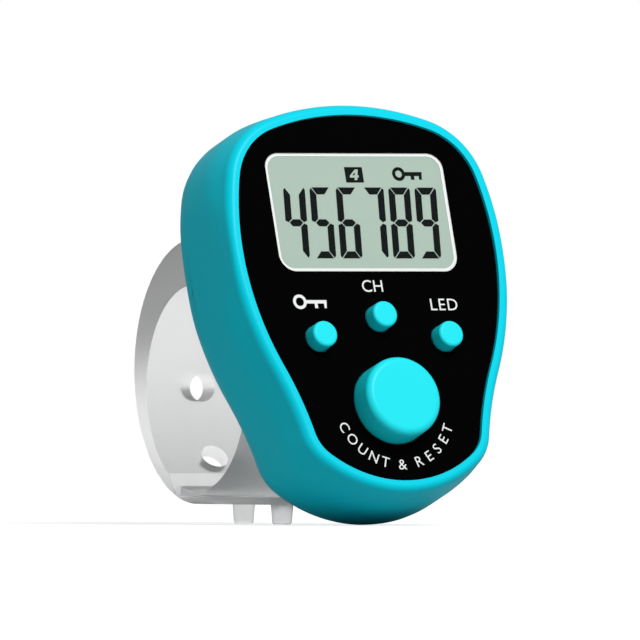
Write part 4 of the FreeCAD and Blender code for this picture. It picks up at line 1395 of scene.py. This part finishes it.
@dataclass
class FingerRing:
    """The soft ring: saddle and arm with pegs, and the strap over the finger."""

    lean: float
    bore_radius: float = 10.6
    width: float = 13.0
    saddle: float = 3.2
    band_top: float = 15.4
    shift: float = -0.4
    arm_thickness: float = 0.5
    arm_reach: float = 3.4
    strap_gap: float = 0.05
    strap_thickness: float = 0.75
    seam_lean: float = math.radians(20)
    tail_end: float = 17.0
    tail_step: float = 0.5
    tail_corner: float = 3.0
    tail_rise_angle: float = math.radians(56.6)
    hole_radius: float = 1.45
    middle_hole_angle: float = 0.0
    lower_hole_angle: float = math.radians(42)
    peg_offset: float = 1.65
    hole_pitch: float = 8.22
    peg_radius: float = 1.25
    peg_tip_radius: float = 0.98
    peg_length: float = 2.85
    edge_round: float = 0.22
    edge_angle: float = math.radians(50)
    edge_steps: int = 3
    bore_steps: int = 120
    band_steps: int = 140
    strap_steps: int = 16
    upper_steps: int = 20
    corner_steps: int = 12
    drill_depth: float = 8.0
    drill_out: float = 1.5
    peg_sides: int = 64
    peg_sunk: float = 0.3
    peg_round: float = 0.25
    peg_round_steps: int = 5
    spare: float = 1.0
    bend_start: Vector = field(default_factory=lambda: Vector((0, 9.6, -5.4)))
    bend_end: Vector = field(default_factory=lambda: Vector((0, 3.6, -11.3)))

    @property
    def arm_under(self) -> float:
        """Depth of the arm's flat underside below the bore's centre."""
        return self.bore_radius + self.arm_thickness

    @property
    def strap_under(self) -> float:
        """Depth of the strap's underside below the bore's centre."""
        return self.arm_under + self.strap_gap + self.strap_thickness

    @property
    def stand(self) -> Matrix:
        """Turn a profile drawn flat so that it stands across the finger."""
        turn = Matrix(((0, 0, 1, 0), (1, 0, 0, 0), (0, 1, 0, 0), (0, 0, 0, 1)))
        return Matrix.Scale(MILLIMETRE, 4) @ turn

    def slab(self, name: str, points: Sequence[Vector]) -> Piece:
        """Extrude a profile across the ring's width."""
        return Bench.prism(name, points, -self.width / 2, self.width / 2)

    def arc(self, centre: Vector, radius: float, first: float, last: float,
            count: int) -> list[Vector]:
        """Walk part of a circle.

        Args:
            centre: Centre of the circle.
            radius: Its radius.
            first: First angle.
            last: Last angle.
            count: Number of steps.

        Returns:
            The points, both ends among them.
        """
        return [centre + polar(radius, first + (last - first) * index / count)
                for index in range(count + 1)]

    def drill(self, piece: Piece, middle: Vector, direction: Vector, radius: float) -> None:
        """Bore a round hole, in the profile's own plane, through the middle of the width."""
        turn = Vector((0, 0, 1)).rotation_difference(Vector((direction.x, direction.y, 0)))
        Bench.cut(piece, Bench.cylinder("drill", radius, self.drill_depth,
                                        (middle.x, middle.y, 0), turn=turn.to_euler()))

    def trim_corner(self, band: Piece, side: int) -> None:
        """Round one corner of the strap's free end in plan.

        Args:
            band: The strap, in the profile's own plane.
            side: Which side of the width, -1 or 1.
        """
        reach = self.tail_corner
        middle = Vector((-self.tail_end + reach, side * (self.width / 2 - reach)))
        curve = [middle + reach * Vector((-math.cos(turn), side * math.sin(turn)))
                 for turn in (math.pi / 2 * index / self.corner_steps
                              for index in range(self.corner_steps + 1))]
        outside = Vector((-self.tail_end - self.spare, side * (self.width / 2 + self.spare)))
        shape = ([Vector((outside.x, curve[0].y))] + curve
                 + [Vector((curve[-1].x, outside.y)), outside])
        cutter = Bench.prism("corner", shape, -2 * self.arm_under, 0.0)
        cutter.data.transform(Matrix(((1, 0, 0, 0), (0, 0, 1, 0), (0, 1, 0, 0), (0, 0, 0, 1))))
        Bench.outward(cutter)
        Bench.cut(band, cutter)

    def strap(self) -> None:
        """Model the strap from its root, over the finger, to its end on the pegs."""
        radius = (self.band_top + self.strap_under) / 2
        centre = Vector((self.shift, (self.band_top - self.strap_under) / 2))
        top = self.arm_under + self.strap_gap
        start = math.pi / 2 + self.seam_lean
        root = Vector((-self.band_top * math.tan(self.seam_lean), self.band_top))
        rise = -self.tail_rise_angle
        lip = polar(self.bore_radius, rise)
        bend = Vector((self.arm_reach + self.tail_step, -top))
        steps = self.strap_steps
        under = [Vector((self.shift - (self.tail_end + self.shift) * index / steps,
                         -self.strap_under)) for index in range(1, steps + 1)]
        upper = [Vector((-self.tail_end + (self.tail_end + bend.x) * index / self.upper_steps,
                         -top)) for index in range(self.upper_steps + 1)]
        inner = self.arc(Vector((0, 0)), self.bore_radius, rise, start, self.bore_steps)
        outer = self.arc(centre, radius, math.pi / 2, -math.pi / 2, self.band_steps)
        profile = upper + [bend.lerp(lip, 0.5)] + inner + [root] + outer + under
        band = self.slab("finger_strap", profile)
        Bench.outward(band)
        for angle in (-self.middle_hole_angle, -self.lower_hole_angle):
            way = polar(1, angle)
            self.drill(band, way * (self.bore_radius + self.drill_out), way,
                       self.hole_radius)
        for place in (self.peg_offset, self.peg_offset - self.hole_pitch):
            self.drill(band, Vector((place, -self.strap_under)), Vector((0, 1)),
                       self.hole_radius)
        for side in (-1, 1):
            self.trim_corner(band, side)
        Bench.soften(band, self.edge_round, self.edge_steps, self.edge_angle)
        Bench.smooth(band, SHARP_TURN)
        Bench.settle(band, self.stand)
        dress(band, CLEAR_BAND)
        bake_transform(band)
        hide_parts("finger_band", "band_tail")
        LOG.info("finger_strap: %d faces, bends from case to tail", len(band.data.polygons))

    def base(self) -> None:
        """Model the saddle, the arm under the finger and its two tapered pegs."""
        reach = self.saddle + self.bore_radius
        sine, cosine = math.sin(self.lean), math.cos(self.lean)
        bottom = Vector((-(reach + self.arm_under * sine) / cosine, -self.arm_under))
        top = Vector((-(reach - self.band_top * sine) / cosine, self.band_top))
        tip = 2 * math.pi - math.acos(self.arm_reach / self.bore_radius)
        seam = math.pi / 2 + self.seam_lean
        bore = self.arc(Vector((0, 0)), self.bore_radius, seam, tip, self.bore_steps)
        root = Vector((-self.band_top * math.tan(self.seam_lean), self.band_top))
        toe = Vector((self.arm_reach, -self.arm_under))
        profile = [root, top, bottom, toe] + list(reversed(bore))
        base = self.slab("ring_saddle", profile)
        Bench.outward(base)
        Bench.soften(base, self.edge_round, self.edge_steps, self.edge_angle)
        for place in (self.peg_offset, self.peg_offset - self.hole_pitch):
            Bench.deselect()
            length = self.peg_length + self.peg_sunk
            bpy.ops.mesh.primitive_cone_add(vertices=self.peg_sides, radius1=self.peg_tip_radius,
                                            radius2=self.peg_radius, depth=length)
            peg = Bench.start("peg")
            Bench.bevel_edges(peg, lambda one, other: max(one.z, other.z)
                              < -length / 2 + NEAR, self.peg_round, self.peg_round_steps)
            lie = Matrix.Translation((place, -self.arm_under + self.peg_sunk - length / 2, 0))
            peg.data.transform(lie @ Matrix.Rotation(-math.pi / 2, 4, "X"))
            Bench.cut(base, peg, "UNION")
        Bench.outward(base)
        Bench.smooth(base, SHARP_TURN)
        # The saddle gets the greyer, less clear copy of the ring plastic: painted shade.
        hand_over(base, self.stand, CLEAR_BASE_SHADED, Body.CASE, ["ring_base"])

    def build(self) -> None:
        """Build both parts of the ring."""
        self.base()
        self.strap()


@dataclass
class InnerParts:
    """Finishes of the pieces inside the case, which keep their CAD shapes."""

    finishes: dict[Finish, str] = field(default_factory=lambda: {
        DISPLAY_GREY: "lcd_rear_glass",
        PALE_GUIDE: "light_guide",
        PINK_ELASTOMER: "zebra_strip",
        WARM_LED: "backlight_led_left backlight_led_right",
        WHITE_PLASTIC: "display_frame count_plunger channel_plunger lock_plunger led_plunger",
        GREEN_BOARD: "circuit_board",
        BLACK_RESIN: "controller_chip count_switch channel_switch lock_switch led_switch",
        TAN_CERAMIC: "filter_capacitor",
        CELL_STEEL: "coin_cell",
        STEEL: "clock_crystal negative_spring positive_clip board_screw_left "
               "board_screw_right"})

    def build(self) -> None:
        """Dress every inner node."""
        for finish, nodes in self.finishes.items():
            for node in nodes.split():
                dress(frame["nodes"][node], finish)
            LOG.info("%s: %s", finish.name, nodes)


@dataclass
class Studio:
    """Pale floor, one soft lamp, a white backdrop and a long lens at table level."""

    floor_level: float
    aim: Vector
    azimuth: float
    distance: float = 3.0
    scale: float = 9830.0
    image_side: int = 640
    sensor: float = 12.0
    near_clip: float = 0.01
    ambient: float = 0.28
    floor_size: float = 4.0
    floor_grey: float = 0.45
    shadow_near: float = 0.06
    shadow_far: float = 0.35
    glow_near: float = 0.72
    glow_far: float = 0.92
    lamp_place: Vector = field(default_factory=lambda: Vector((0.03, -0.5, 0.5)))
    lamp_side: float = 0.3
    lamp_power: float = 3.9

    def floor(self) -> None:
        """Lay the floor that takes the counter's shadow."""
        Bench.deselect()
        bpy.ops.mesh.primitive_plane_add(size=self.floor_size,
                                         location=(0, 0, self.floor_level))
        floor = Bench.start("floor")
        made = bpy.data.materials.new("floor_white")
        made.use_nodes = True
        made.node_tree.nodes.clear()
        wiring = Wiring(made.node_tree)
        output = wiring.add("OutputMaterial")
        diffuse = wiring.add("BsdfDiffuse", {"Color": (*[self.floor_grey] * 3, 1)})
        glow = wiring.add("Emission", {"Color": (1, 1, 1, 1)})
        path = wiring.add("LightPath")
        place = wiring.add("TexCoord")
        reach = wiring.add("VectorMath", operation="LENGTH")
        fade = wiring.add("MapRange", {
            "From Min": self.shadow_near, "From Max": self.shadow_far,
            "To Min": self.glow_near, "To Max": self.glow_far})
        amount = wiring.add("Math", operation="MULTIPLY")
        both = wiring.add("AddShader")
        wiring.join(place, "Object", reach, 0)
        wiring.join(reach, "Value", fade, "Value")
        wiring.join(path, "Is Camera Ray", amount, 0)
        wiring.join(fade, "Result", amount, 1)
        wiring.join(amount, 0, glow, "Strength")
        wiring.join(diffuse, 0, both, 0)
        wiring.join(glow, 0, both, 1)
        wiring.join(both, 0, output, "Surface")
        floor.data.materials.append(made)

    def world(self) -> None:
        """Give a white backdrop to the camera and a softer light to the object."""
        world = bpy.data.worlds.new("studio")
        bpy.context.scene.world = world
        world.use_nodes = True
        world.node_tree.nodes.clear()
        wiring = Wiring(world.node_tree)
        output = wiring.add("OutputWorld")
        backdrop = wiring.add("Background", {"Color": (1, 1, 1, 1)})
        level = wiring.add("MapRange", {"To Min": self.ambient, "To Max": 1.0})
        path = wiring.add("LightPath")
        seen = wiring.add("Math", operation="MAXIMUM")
        wiring.join(path, "Is Camera Ray", seen, 0)
        wiring.join(path, "Is Transmission Ray", seen, 1)
        wiring.join(seen, 0, level, "Value")
        wiring.join(level, 0, backdrop, "Strength")
        wiring.join(backdrop, 0, output, "Surface")

    def lamp(self) -> None:
        """Hang one soft square lamp that looks at the counter."""
        light = bpy.data.lights.new("front_lamp", "AREA")
        light.size = self.lamp_side
        light.energy = self.lamp_power
        lamp = bpy.data.objects.new("front_lamp", light)
        lamp.location = self.lamp_place
        lamp.rotation_euler = (-self.lamp_place).to_track_quat("-Z", "Y").to_euler()
        bpy.context.scene.collection.objects.link(lamp)

    def camera(self) -> None:
        """Set the camera level with the counter, at its three-quarter view."""
        lens = bpy.data.cameras.new("camera")
        back = Vector((math.sin(self.azimuth), -math.cos(self.azimuth), 0))
        camera = bpy.data.objects.new("camera", lens)
        camera.location = self.aim + back * self.distance
        camera.rotation_euler = (-back).to_track_quat("-Z", "Y").to_euler()
        lens.sensor_width = self.sensor
        lens.sensor_fit = "HORIZONTAL"
        lens.lens = self.sensor * self.distance * self.scale / self.image_side
        lens.clip_start = self.near_clip
        bpy.context.scene.collection.objects.link(camera)
        bpy.context.scene.camera = camera

    def build(self) -> None:
        """Set up floor, lamp, backdrop and camera."""
        self.floor()
        self.world()
        self.lamp()
        self.camera()
        bpy.context.scene.view_settings.view_transform = "Standard"


def camera_aim(axes: CaseAxes, azimuth: float) -> Vector:
    """Work out the point that the middle of the picture looks at.

    Args:
        axes: The case's axes.
        azimuth: Direction of view.

    Returns:
        The aim, in metres, beside the case's origin.
    """
    right = Vector((math.cos(azimuth), math.sin(azimuth), 0))
    return (axes.to_row.translation + right * (AIM_BESIDE * MILLIMETRE)
            + Vector((0, 0, AIM_BELOW * MILLIMETRE)))


def main() -> None:
    """Build every sub-assembly and the studio."""
    logging.basicConfig(level=logging.INFO, format="%(name)s: %(message)s")
    pad = KeyPad()
    axes = CaseAxes.from_frame(pad.count_drop)
    outline = LensOutline()
    Shells(outline, pad).build(axes)
    Screws().build(axes)
    Face(outline, pad).build(axes)
    Readout().build(axes)
    Labels().build(axes)
    pad.build(axes)
    FingerRing(lean=axes.lean).build()
    InnerParts().build()
    Studio(cad_box[0][2], camera_aim(axes, VIEW_AZIMUTH), VIEW_AZIMUTH).build()


if __name__ == "__main__":
    main()
